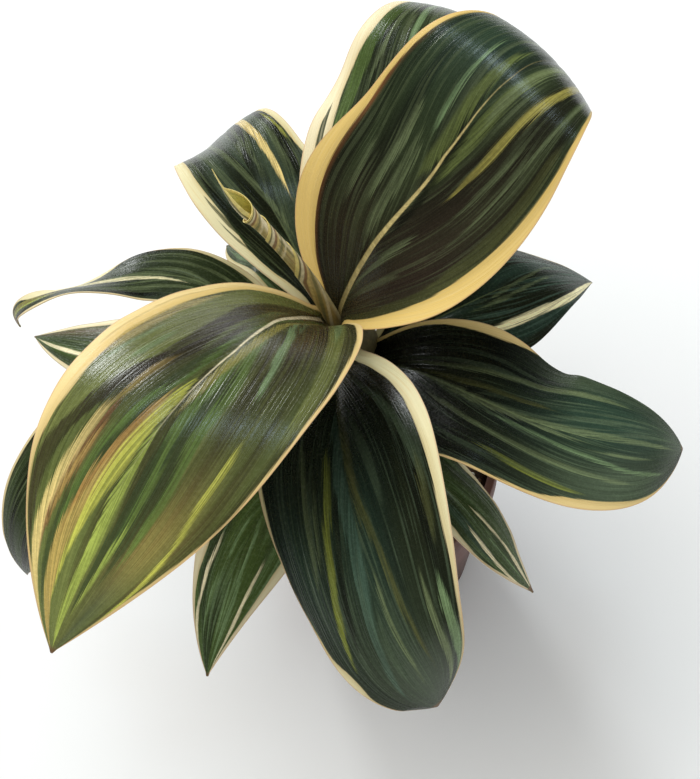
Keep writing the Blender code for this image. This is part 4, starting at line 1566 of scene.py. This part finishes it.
    def dress(self) -> bpy.types.Material:
        """Build the rolled leaf's skin: pale edges, grey-green and brown bands outside.

        Returns:
            The material.
        """
        material, recipe = new_material("new_leaf_skin")
        t, _, vein = recipe.parts(recipe.stored("lay"))
        edge, _, inside = recipe.parts(recipe.stored("reach"))
        veins = recipe.group(self.effects.veins, Vein=vein * 2.2, Along=t, Seed=91.0)
        mottle = recipe.group(self.effects.grain, Place=recipe.place(),
                              Scale=self.grain)["Mottle"]
        bands, streaks = veins["Bands"], veins["Streaks"]
        colour = recipe.mix(bands, Tone.KHAKI, Tone.IVORY)
        colour = recipe.mix(streaks * 0.55, colour, Tone.GREY_GREEN)
        colour = recipe.mix(veins["Lines"] * 0.4, colour, Tone.CLAY_BLOOM)
        foot = recipe.mix(bands, Tone.OCHRE, Tone.KHAKI)
        colour = recipe.mix(t.span(0.5, 0.3, 0.0, 0.75), colour, foot)
        for tone, low, high, strength in self.bands:
            band = edge.span(low - 0.3, low + 0.2) * edge.span(high + 0.3, high - 0.2, 0.0, strength)
            colour = recipe.mix(band, colour, tone)
        green = recipe.mix(bands, Tone.LEAF_GREEN, Tone.SPRING)
        colour = recipe.mix(t.span(0.84, 0.9), colour, green)
        colour = recipe.mix(inside, colour, recipe.mix(bands * 0.6, Tone.BUTTER, Tone.SPRING))
        brown = edge.span(1.9, 1.6) * (streaks * 0.3 + 0.15)
        colour = recipe.mix(brown, colour, Tone.CLAY_BLOOM)
        width = t.span(0.78, 0.9, 1.5, 0.7)
        pale = (width - edge).span(0.0, 0.35)
        rim = recipe.mix(veins["Threads"] * 0.3, Tone.BUTTER, Tone.SAND)
        colour = recipe.brighten(recipe.mix(pale, colour, rim), mottle * 0.3 + 1.0)
        recipe.finish(colour, mottle * 0.1 + 0.38, veins["Ridge"], self.relief, 0.7)
        return material


# Stem, pot and soil

@dataclass
class Cane:
    """The upright stem, ringed where leaves stand and where old ones have dropped.

    swelling is where the stem thickens under the crown, and by how much.
    """
    effects: Effects
    radius: float = 6.0
    root_radius: float = 6.8
    root_z: float = 54.0
    top_z: float = 177.0
    soil_z: float = 80.0
    scars: tuple[float, ...] = (86, 92, 98)
    nodes: tuple[float, ...] = (104, 110, 116, 122, 132, 138, 144, 150, 156, 161, 168)
    scar_proud: float = 0.42
    node_proud: float = 0.14
    swelling: Point = (132.0, 206.0, 6.2)
    grain: float = 700.0
    relief: float = 0.0003
    segments: int = 96

    def profile(self) -> list[tuple[float, float]]:
        """Give the stem's outline from root to tip.

        Returns:
            Its (radius, height) steps in millimetres.
        """
        steps = [(self.root_radius - 0.8, self.root_z), (self.root_radius, self.root_z + 0.8),
                 (self.root_radius, self.soil_z - 1.5), (self.root_radius - 0.2, self.soil_z),
                 (self.radius + 0.1, self.soil_z + 2.0)]
        rings = [(z, self.scar_proud) for z in self.scars]
        rings += [(z - 0.6, self.node_proud) for z in self.nodes]
        for height, proud in sorted(rings):
            steps += [(self.radius - 0.12, height - 1.5), (self.radius - 0.05, height - 0.9),
                      (self.radius + proud * 0.7, height - 0.35),
                      (self.radius + proud, height), (self.radius + proud * 0.3, height + 0.3),
                      (self.radius - 0.2, height + 0.8)]
        steps += [(self.radius, self.top_z - 4.5), (self.radius * 0.92, self.top_z - 2.2),
                  (self.radius * 0.6, self.top_z - 0.5), (0, self.top_z)]
        low, high, proud = self.swelling
        return [(radius + proud * max(0.0, 1 - abs(2 * z - low - high) / (high - low))
                 * (radius > 0), z) for radius, z in steps]

    def build(self) -> None:
        """Build and dress the stem."""
        piece = turned("stem_cane", self.profile(), self.segments)
        with editing(piece) as bm:
            for vert in bm.verts:
                angle, z = math.atan2(vert.co.y, vert.co.x), vert.co.z / MM
                flute = 0.10 * math.sin(5 * angle + 0.05 * z) + 0.06 * math.sin(11 * angle + 1.3)
                crack = 0.05 * math.sin(23 * angle + 0.21 * z)
                vert.co.xy *= 1 + (flute + crack - 0.12) / self.radius
                if self.soil_z < z < self.top_z - 5:
                    vert.co.z += 0.25 * MM * math.sin(2 * angle + z)
        smooth(piece, 50)
        hand_over(piece, "stem", self.dress())

    def dress(self) -> bpy.types.Material:
        """Build the stem's bark: brown below, greener above, with pale scars.

        Returns:
            The material.
        """
        material, recipe = new_material("stem_bark")
        place = recipe.place()
        z = recipe.parts(place)[2]
        mottle = recipe.group(self.effects.grain, Place=place, Scale=self.grain)["Mottle"]
        cracks = recipe.noise(place, (900.0, 900.0, 60.0), 3.0, 0.6)
        colour = recipe.mix(z.span(0.09, 0.14), Tone.BARK, Tone.CANE_GREEN)
        colour = recipe.mix(cracks.span(0.5, 0.72, 0.0, 0.6), colour, Tone.HUSK)
        colour = recipe.mix(cracks.span(0.48, 0.3, 0.0, 0.6), colour, Tone.UMBER)
        colour = recipe.mix(z.span(0.145, 0.165, 0.0, 0.55), colour, Tone.UMBER)
        for height in self.scars:
            ring = abs(z - height * MM).span(0.0011, 0.0003, 0.0, 0.6)
            colour = recipe.mix(ring, colour, Tone.PALE_CREAM)
        colour = recipe.mix(z.span(0.084, 0.079, 0.0, 0.7), colour, Tone.PEAT)
        recipe.finish(recipe.brighten(colour, mottle * 0.4 + 0.75), cracks * 0.3 + 0.58, cracks,
                      self.relief, 0.9)
        return material


@dataclass
class NurseryPot:
    """The plain tapered pot with a rim band and four drainage holes."""
    effects: Effects
    height: float = 88.0
    top_radius: float = 50.0
    foot_radius: float = 36.0
    wall: float = 2.0
    floor: float = 2.5
    rim_depth: float = 12.0
    rim_proud: float = 1.8
    drain_radius: float = 4.0
    drain_circle: float = 21.0
    drains: int = 4
    grain: float = 1600.0
    relief: float = 0.00008
    segments: int = 144

    def outer(self, z: float) -> float:
        """Give the outer wall's radius at a height, in millimetres."""
        spread = self.top_radius - self.rim_proud - self.foot_radius
        return self.foot_radius + spread / (self.height - self.rim_depth) * z

    def profile(self) -> list[tuple[float, float]]:
        """Give the pot's closed outline, up the outside and down the inside.

        Returns:
            Its (radius, height) steps in millimetres.
        """
        outer, wall, foot = self.outer, self.wall, self.foot_radius
        band, top, high = self.height - self.rim_depth, self.top_radius, self.height
        inner = top - wall - self.rim_proud * 0.6
        return [
            (0.6, 1.0), (30.5, 1.0), (31.3, 0.7), (31.8, 0.1), (32.4, 0.0), (foot - 1.2, 0.0),
            (foot - 0.4, 0.3), *((outer(z), z) for z in (0.9, 1.8, 8.0, 8.6, 30.0, 52.0)),
            (outer(band - 1.6), band - 1.6), (outer(band) - 0.05, band - 0.5),
            (outer(band) + 0.3, band - 0.1), (top - 1.1, band), (top - 0.6, band + 0.25),
            (top - 0.38, band + 0.8), (top - 0.2, band + 5.0), (top - 0.05, high - 2.2),
            (top, high - 1.0), (top - 0.12, high - 0.4), (top - 0.45, high - 0.08),
            (top - 0.9, high), (inner + 0.9, high), (inner + 0.4, high - 0.1),
            (inner + 0.1, high - 0.4), (inner, high - 0.9), (outer(band) - wall + 0.2, band - 1.0),
            (outer(band) - wall - 0.05, band - 2.4), (outer(40.0) - wall, 40.0),
            (outer(6.0) - wall, 6.0), (outer(3.4) - wall - 0.4, 3.1),
            (outer(2.5) - wall - 1.3, self.floor), (20.0, self.floor), (0, self.floor)]

    def build(self) -> None:
        """Build the pot, cut its drainage holes and dress it."""
        piece = turned("pot_shell", self.profile(), self.segments)
        for index in range(self.drains):
            angle = math.tau * (index + 0.5) / self.drains
            take(None)
            bpy.ops.mesh.primitive_cylinder_add(
                vertices=40, radius=self.drain_radius * MM, depth=self.floor * 4 * MM,
                location=(self.drain_circle * MM * math.cos(angle),
                          self.drain_circle * MM * math.sin(angle), 0))
            cutter = claim("drain_cutter")
            apply(piece, "BOOLEAN", operation="DIFFERENCE", solver="EXACT", object=cutter)
            bpy.data.objects.remove(cutter)
        smooth(piece, 35)
        hand_over(piece, "pot", self.dress())

    def dress(self) -> bpy.types.Material:
        """Build the pot's plastic: moulded, lightly scuffed, with dried soil at its rim.

        Returns:
            The material.
        """
        material, recipe = new_material("pot_plastic")
        place = recipe.place()
        z = recipe.parts(place)[2]
        mottle = recipe.group(self.effects.grain, Place=place, Scale=self.grain)["Mottle"]
        cloud = recipe.noise(place, 28.0, 3.0, 0.5)
        flow = recipe.noise(place, (25.0, 25.0, 1500.0), 2.0, 0.5)
        scuff = recipe.add("Mapping", 0, {"Vector": place, "Scale": (160.0, 160.0, 900.0),
                                          "Rotation": (0.3, 0.2, 0.0)})
        scratches = recipe.noise(scuff, 1.0, 2.0, 0.4).span(0.66, 0.74)
        dust = recipe.math("MAXIMUM", *(
            recipe.group(self.effects.dust, Place=place, Height=z, Low=low, High=high)["Mask"]
            for low, high in ((0.014, 0.0), (0.072, 0.092))))
        colour = recipe.mix(cloud.span(0.35, 0.7), Tone.TERRACOTTA, Tone.CLAY_SHADE)
        colour = recipe.mix(mottle * 0.18, colour, Tone.CLAY_BLOOM)
        colour = recipe.mix(scratches * 0.35, colour, Tone.CLAY_BLOOM)
        colour = recipe.mix(dust * 0.35, colour, Tone.PEAT_LIGHT)
        rough = cloud * 0.15 + dust * 0.25 + scratches * 0.12 + 0.42
        recipe.finish(colour, rough, mottle * 0.6 + flow * 0.5, self.relief, 0.5)
        return material


@dataclass(frozen=True)
class Bits:
    """One kind of bit that lies in the soil.

    size gives its half sizes in millimetres, roundness is 1 for a pebble and less for a chip
    with corners, and sunk is how far down it sits, as a share of its height.
    """
    name: str
    size: Point
    roundness: float
    count: int
    scales: tuple[float, float]
    sunk: float


@dataclass
class SoilBall:
    """The potting mix: a crumbly domed top with bark chips and pale grit in it."""
    effects: Effects
    pot: NurseryPot
    level: float = 78.0
    dome: float = 2.0
    droop: float = 1.2
    floor_z: float = 2.8
    socket: float = 7.1
    socket_z: float = 53.7
    foot_radius: float = 34.1
    shoulder_z: float = 74.0
    bare_rim: float = 2.2
    bare_socket: float = 1.5
    rings: int = 46
    segments: int = 180
    grain: float = 1100.0
    relief: float = 0.0004
    seed: int = 7
    kinds: tuple[Bits, ...] = (Bits("crumb", (1.0, 0.8, 0.7), 0.8, 420, (0.5, 1.7), 0.8),
                               Bits("chip", (2.3, 1.2, 0.45), 0.35, 260, (0.5, 1.5), 0.5),
                               Bits("grit", (0.8, 0.7, 0.6), 0.9, 150, (0.5, 1.4), 0.7))

    def side(self, z: float) -> float:
        """Give the soil's radius at a height, in millimetres."""
        return self.foot_radius + self.pot.outer(z) - self.pot.outer(self.floor_z)

    def top(self, radius: float) -> float:
        """Give the smooth dome's height at a radius.

        Args:
            radius: the distance from the middle in millimetres.

        Returns:
            The height in millimetres.
        """
        share = (radius - self.socket) / (self.side(self.shoulder_z) - self.socket)
        share = min(max(share, 0), 1)
        return self.level + self.dome * (1 - share) ** 1.2 - self.droop * share ** 4

    def profile(self) -> list[tuple[float, float]]:
        """Give the soil's outline, from its socket over its top to its foot.

        Returns:
            Its (radius, height) steps in millimetres.
        """
        rim = self.side(self.shoulder_z)
        steps = [(self.socket, self.socket_z), (self.socket, self.level + self.dome - 2)]
        for index in range(self.rings + 1):
            radius = self.socket + (rim - 1.0 - self.socket) * index / self.rings
            steps.append((radius, self.top(radius)))
        steps += [(rim - 0.2, self.shoulder_z + 1.5), (rim, self.shoulder_z)]
        for share in (0.75, 0.5, 0.25, 0.0):
            z = self.floor_z + (self.shoulder_z - self.floor_z) * share
            steps.append((self.side(z), z))
        return steps + [(0, self.floor_z)]

    def build(self) -> None:
        """Build and dress the soil."""
        piece = turned("soil_ball", self.profile(), self.segments)
        rim = self.side(self.shoulder_z)
        with editing(piece) as bm:
            for vert in bm.verts:
                x, y, z = (part / MM for part in vert.co)
                if (z > self.shoulder_z + 0.5
                        and self.socket + 0.4 < math.hypot(x, y) < rim - 0.6):
                    vert.co.z += self.crumble(x, y) * MM
        smooth(piece, 60)
        for number, kind in enumerate(self.kinds):
            lot = self._scatter(kind, self.seed + number, number + 1.0)
            take(piece)
            lot.select_set(True)
            bpy.ops.object.join()
        smooth(piece, 55)
        hand_over(piece, "soil", self.dress())

    @staticmethod
    def crumble(x: float, y: float) -> float:
        """Give how far the crumbly top stands up over the smooth dome.

        Args:
            x: where, in millimetres.
            y: where, in millimetres.

        Returns:
            The height in millimetres.
        """
        lump = math.sin(x * 0.61 + 1.7) * math.sin(y * 0.53 + 0.4)
        crumb = math.sin(x * 1.9 + 2 * math.sin(y * 1.3)) * math.sin(y * 2.3 + x * 0.7)
        fine = math.sin(x * 5.1 + 3 * math.sin(y * 2.9)) * math.sin(y * 4.7 - x * 1.9)
        return 0.5 * lump + 0.35 * crumb + 0.22 * fine - 0.3

    @staticmethod
    def _bit(kind: Bits) -> bpy.types.Object:
        """Model one small bit: a low ball, squashed and made uneven.

        Args:
            kind: the kind of bit.

        Returns:
            The bit, at the origin.
        """
        take(None)
        bpy.ops.mesh.primitive_ico_sphere_add(subdivisions=2, radius=1.0)
        bit = claim(kind.name)
        with editing(bit) as bm:
            for vert in bm.verts:
                lean = vert.co.copy()
                box = max(abs(part) for part in lean)
                uneven = 1 + 0.12 * math.sin(7 * lean.x + 3 * lean.y) * math.sin(5 * lean.z + 1)
                vert.co = lean * (kind.roundness + (1 - kind.roundness) / box * 0.8) * uneven
                vert.co *= Vector(kind.size) * MM
        return bit

    def _scatter(self, kind: Bits, seed: int, mark: float) -> bpy.types.Object:
        """Copy a bit over the soil's top, each copy with its own mesh, and join the copies.

        Args:
            kind: the kind of bit.
            seed: which scatter.
            mark: a number stored on every vertex, to tell the bits' colours apart.

        Returns:
            The joined object.
        """
        draw = np.random.default_rng(seed)
        bit = self._bit(kind)
        shape = np.array([vert.co for vert in bit.data.vertices])
        faces = [tuple(face.vertices) for face in bit.data.polygons]
        bpy.data.objects.remove(bit)
        rim = self.side(self.shoulder_z) - self.bare_rim
        points, polygons, marks = [], [], []
        for index in range(kind.count):
            radius = math.sqrt(draw.uniform((self.socket + self.bare_socket) ** 2, rim ** 2))
            angle = draw.uniform(0, math.tau)
            tilt = Matrix.Rotation(draw.normal(0, 0.3), 3, "X") @ Matrix.Rotation(
                draw.normal(0, 0.3), 3, "Y") @ Matrix.Rotation(draw.uniform(0, math.tau), 3, "Z")
            own = shape @ np.array(tilt).T * draw.uniform(*kind.scales)
            high = self.top(radius) * MM - own[:, 2].max() * kind.sunk
            own += (radius * MM * math.cos(angle), radius * MM * math.sin(angle), high)
            polygons += [tuple(v + index * len(shape) for v in face) for face in faces]
            points.append(own)
            marks.append(np.full(len(shape), mark + draw.uniform(0, 0.8)))
        mesh = bpy.data.meshes.new(kind.name)
        mesh.from_pydata(np.concatenate(points).tolist(), [], polygons)
        mesh.update()
        lot = bpy.data.objects.new(kind.name, mesh)
        bpy.context.scene.collection.objects.link(lot)
        mesh.attributes.new("bit", "FLOAT", "POINT").data.foreach_set(
            "value", np.concatenate(marks).astype(np.float32))
        return lot

    def dress(self) -> bpy.types.Material:
        """Build the soil's material, with its own colours for crumbs, chips and grit.

        Returns:
            The material.
        """
        material, recipe = new_material("soil_mix")
        place = recipe.place()
        bit = recipe.stored("bit", "Fac")
        mottle = recipe.group(self.effects.grain, Place=place, Scale=self.grain)["Mottle"]
        coarse = recipe.noise(place, 220.0, 5.0, 0.7)
        vary = recipe.math("FRACT", bit)
        colour = recipe.mix(coarse.span(0.4, 0.7), Tone.PEAT, Tone.PEAT_LIGHT)
        crumb = recipe.mix(vary, Tone.PEAT, Tone.UMBER)
        chip = recipe.mix(vary, Tone.UMBER, Tone.CHIP)
        for mark, tone in enumerate((crumb, chip, Tone.PERLITE)):
            colour = recipe.mix(bit.span(mark + 0.9, mark + 1.0), colour, tone)
        recipe.finish(recipe.brighten(colour, mottle * 0.7 + 0.6), mottle * 0.15 + 0.8, coarse,
                      self.relief, 1.0)
        return material


# Studio

@dataclass
class Studio:
    """A pale floor, soft light and the camera at the photograph's viewing angle."""
    focal_pixels: float = 1420.0
    frame_pixels: float = 779.0
    sensor: float = 36.0
    eye: Point = (-0.371, -244.993, 560.169)
    right: Point = (0.9781476, -0.18005681, -0.10395585)
    up: Point = (0.20791169, 0.84710067, 0.4890738)
    ahead: Point = (0.0, 0.5, -0.8660254)
    aim: Point = (0.0, 0.0, 170.0)

    def build(self) -> None:
        """Set up the floor, the lights and the camera."""
        self._floor()
        self._sky()
        self._lamp("window", (-0.22, 0.93, 0.27), 1.3, (0.24, 0.32), 5.0, (0.96, 0.99, 1.0))
        self._lamp("skylight", (0.08, 0.5, 0.86), 1.3, (0.25, 0.25), 2.1, (0.7, 0.88, 1.0))
        self._lamp("doorway", (0.97, -0.05, 0.36), 1.5, (0.9, 0.9), 1.4, (0.92, 0.97, 1.0))
        above = self._lamp("ceiling", (-0.25, 0.15, 1.0), 1.6, (1.5, 1.5), 18.0,
                           (1.0, 0.985, 0.95))
        above.visible_glossy = False
        self._camera()
        scene = bpy.context.scene
        scene.view_settings.view_transform = "Standard"
        scene.view_settings.look = "None"

    @staticmethod
    def _floor() -> None:
        """Lay the floor."""
        take(None)
        bpy.ops.mesh.primitive_circle_add(vertices=96, radius=3.0, fill_type="NGON")
        floor = claim("floor")
        material, recipe = new_material("floor_paint")
        cloud = recipe.noise(recipe.place(), 3.0, 4.0).span(0.3, 0.7, 0.0, 0.06)
        shader = material.node_tree.nodes["Principled BSDF"]
        recipe.feed(shader.inputs["Base Color"], recipe.mix(cloud, Tone.FLOOR, Tone.PERLITE))
        shader.inputs["Roughness"].default_value = 0.9
        floor.data.materials.append(material)

    @staticmethod
    def _sky() -> None:
        """Light the scene evenly from all round."""
        world = bpy.data.worlds.new("room")
        world.use_nodes = True
        back = world.node_tree.nodes["Background"]
        back.inputs["Color"].default_value = (0.97, 0.985, 1.0, 1.0)
        recipe = Recipe(world.node_tree)
        glossy = recipe.add("LightPath", "Is Glossy Ray")
        recipe.feed(back.inputs["Strength"], glossy.span(0.0, 1.0, 0.5, 0.05))
        bpy.context.scene.world = world

    def _lamp(self, name: str, bearing: Point, away: float, size: tuple[float, float],
              power: float, tint: Point) -> bpy.types.Object:
        """Hang one soft light.

        Args:
            name: its name.
            bearing: the direction to it from the plant.
            away: how far it is, in metres.
            size: how wide and high it is, in metres.
            power: its power in watts.
            tint: its colour.

        Returns:
            The light.
        """
        lamp = bpy.data.lights.new(name, "AREA")
        lamp.shape = "RECTANGLE"
        lamp.size, lamp.size_y = size
        lamp.energy = power
        lamp.color = tint
        obj = bpy.data.objects.new(name, lamp)
        bpy.context.scene.collection.objects.link(obj)
        toward = Vector(bearing).normalized()
        turn = toward.to_track_quat("Z", "Y").to_matrix().to_4x4()
        obj.matrix_world = Matrix.Translation(Vector(self.aim) * MM + toward * away) @ turn
        return obj

    def _camera(self) -> None:
        """Place the camera."""
        lens = bpy.data.cameras.new("camera")
        lens.sensor_width = self.sensor
        lens.lens = self.focal_pixels * self.sensor / self.frame_pixels
        lens.clip_start = 0.01
        camera = bpy.data.objects.new("camera", lens)
        bpy.context.scene.collection.objects.link(camera)
        turn = Matrix((self.right, self.up, [-part for part in self.ahead])).transposed()
        camera.matrix_world = Matrix.Translation(Vector(self.eye) * MM) @ turn.to_4x4()
        bpy.context.scene.camera = camera


def main() -> None:
    """Build the potted plant piece by piece."""
    logging.basicConfig(level=logging.INFO, format="%(message)s")
    effects = Effects()
    pot = NurseryPot(effects)
    pot.build()
    SoilBall(effects, pot).build()
    Cane(effects).build()
    RolledLeaf(effects).build()
    skin = LeafSkin(effects)
    for index, (name, shape) in enumerate(LEAF_SHAPES.items()):
        Leaf(name, shape, LEAF_COLOURS[name], skin, seed=11 + 7 * index,
             clasp=CLASPS.get(name, 0.0)).build()
    Studio().build()


if __name__ == "__main__":
    main()
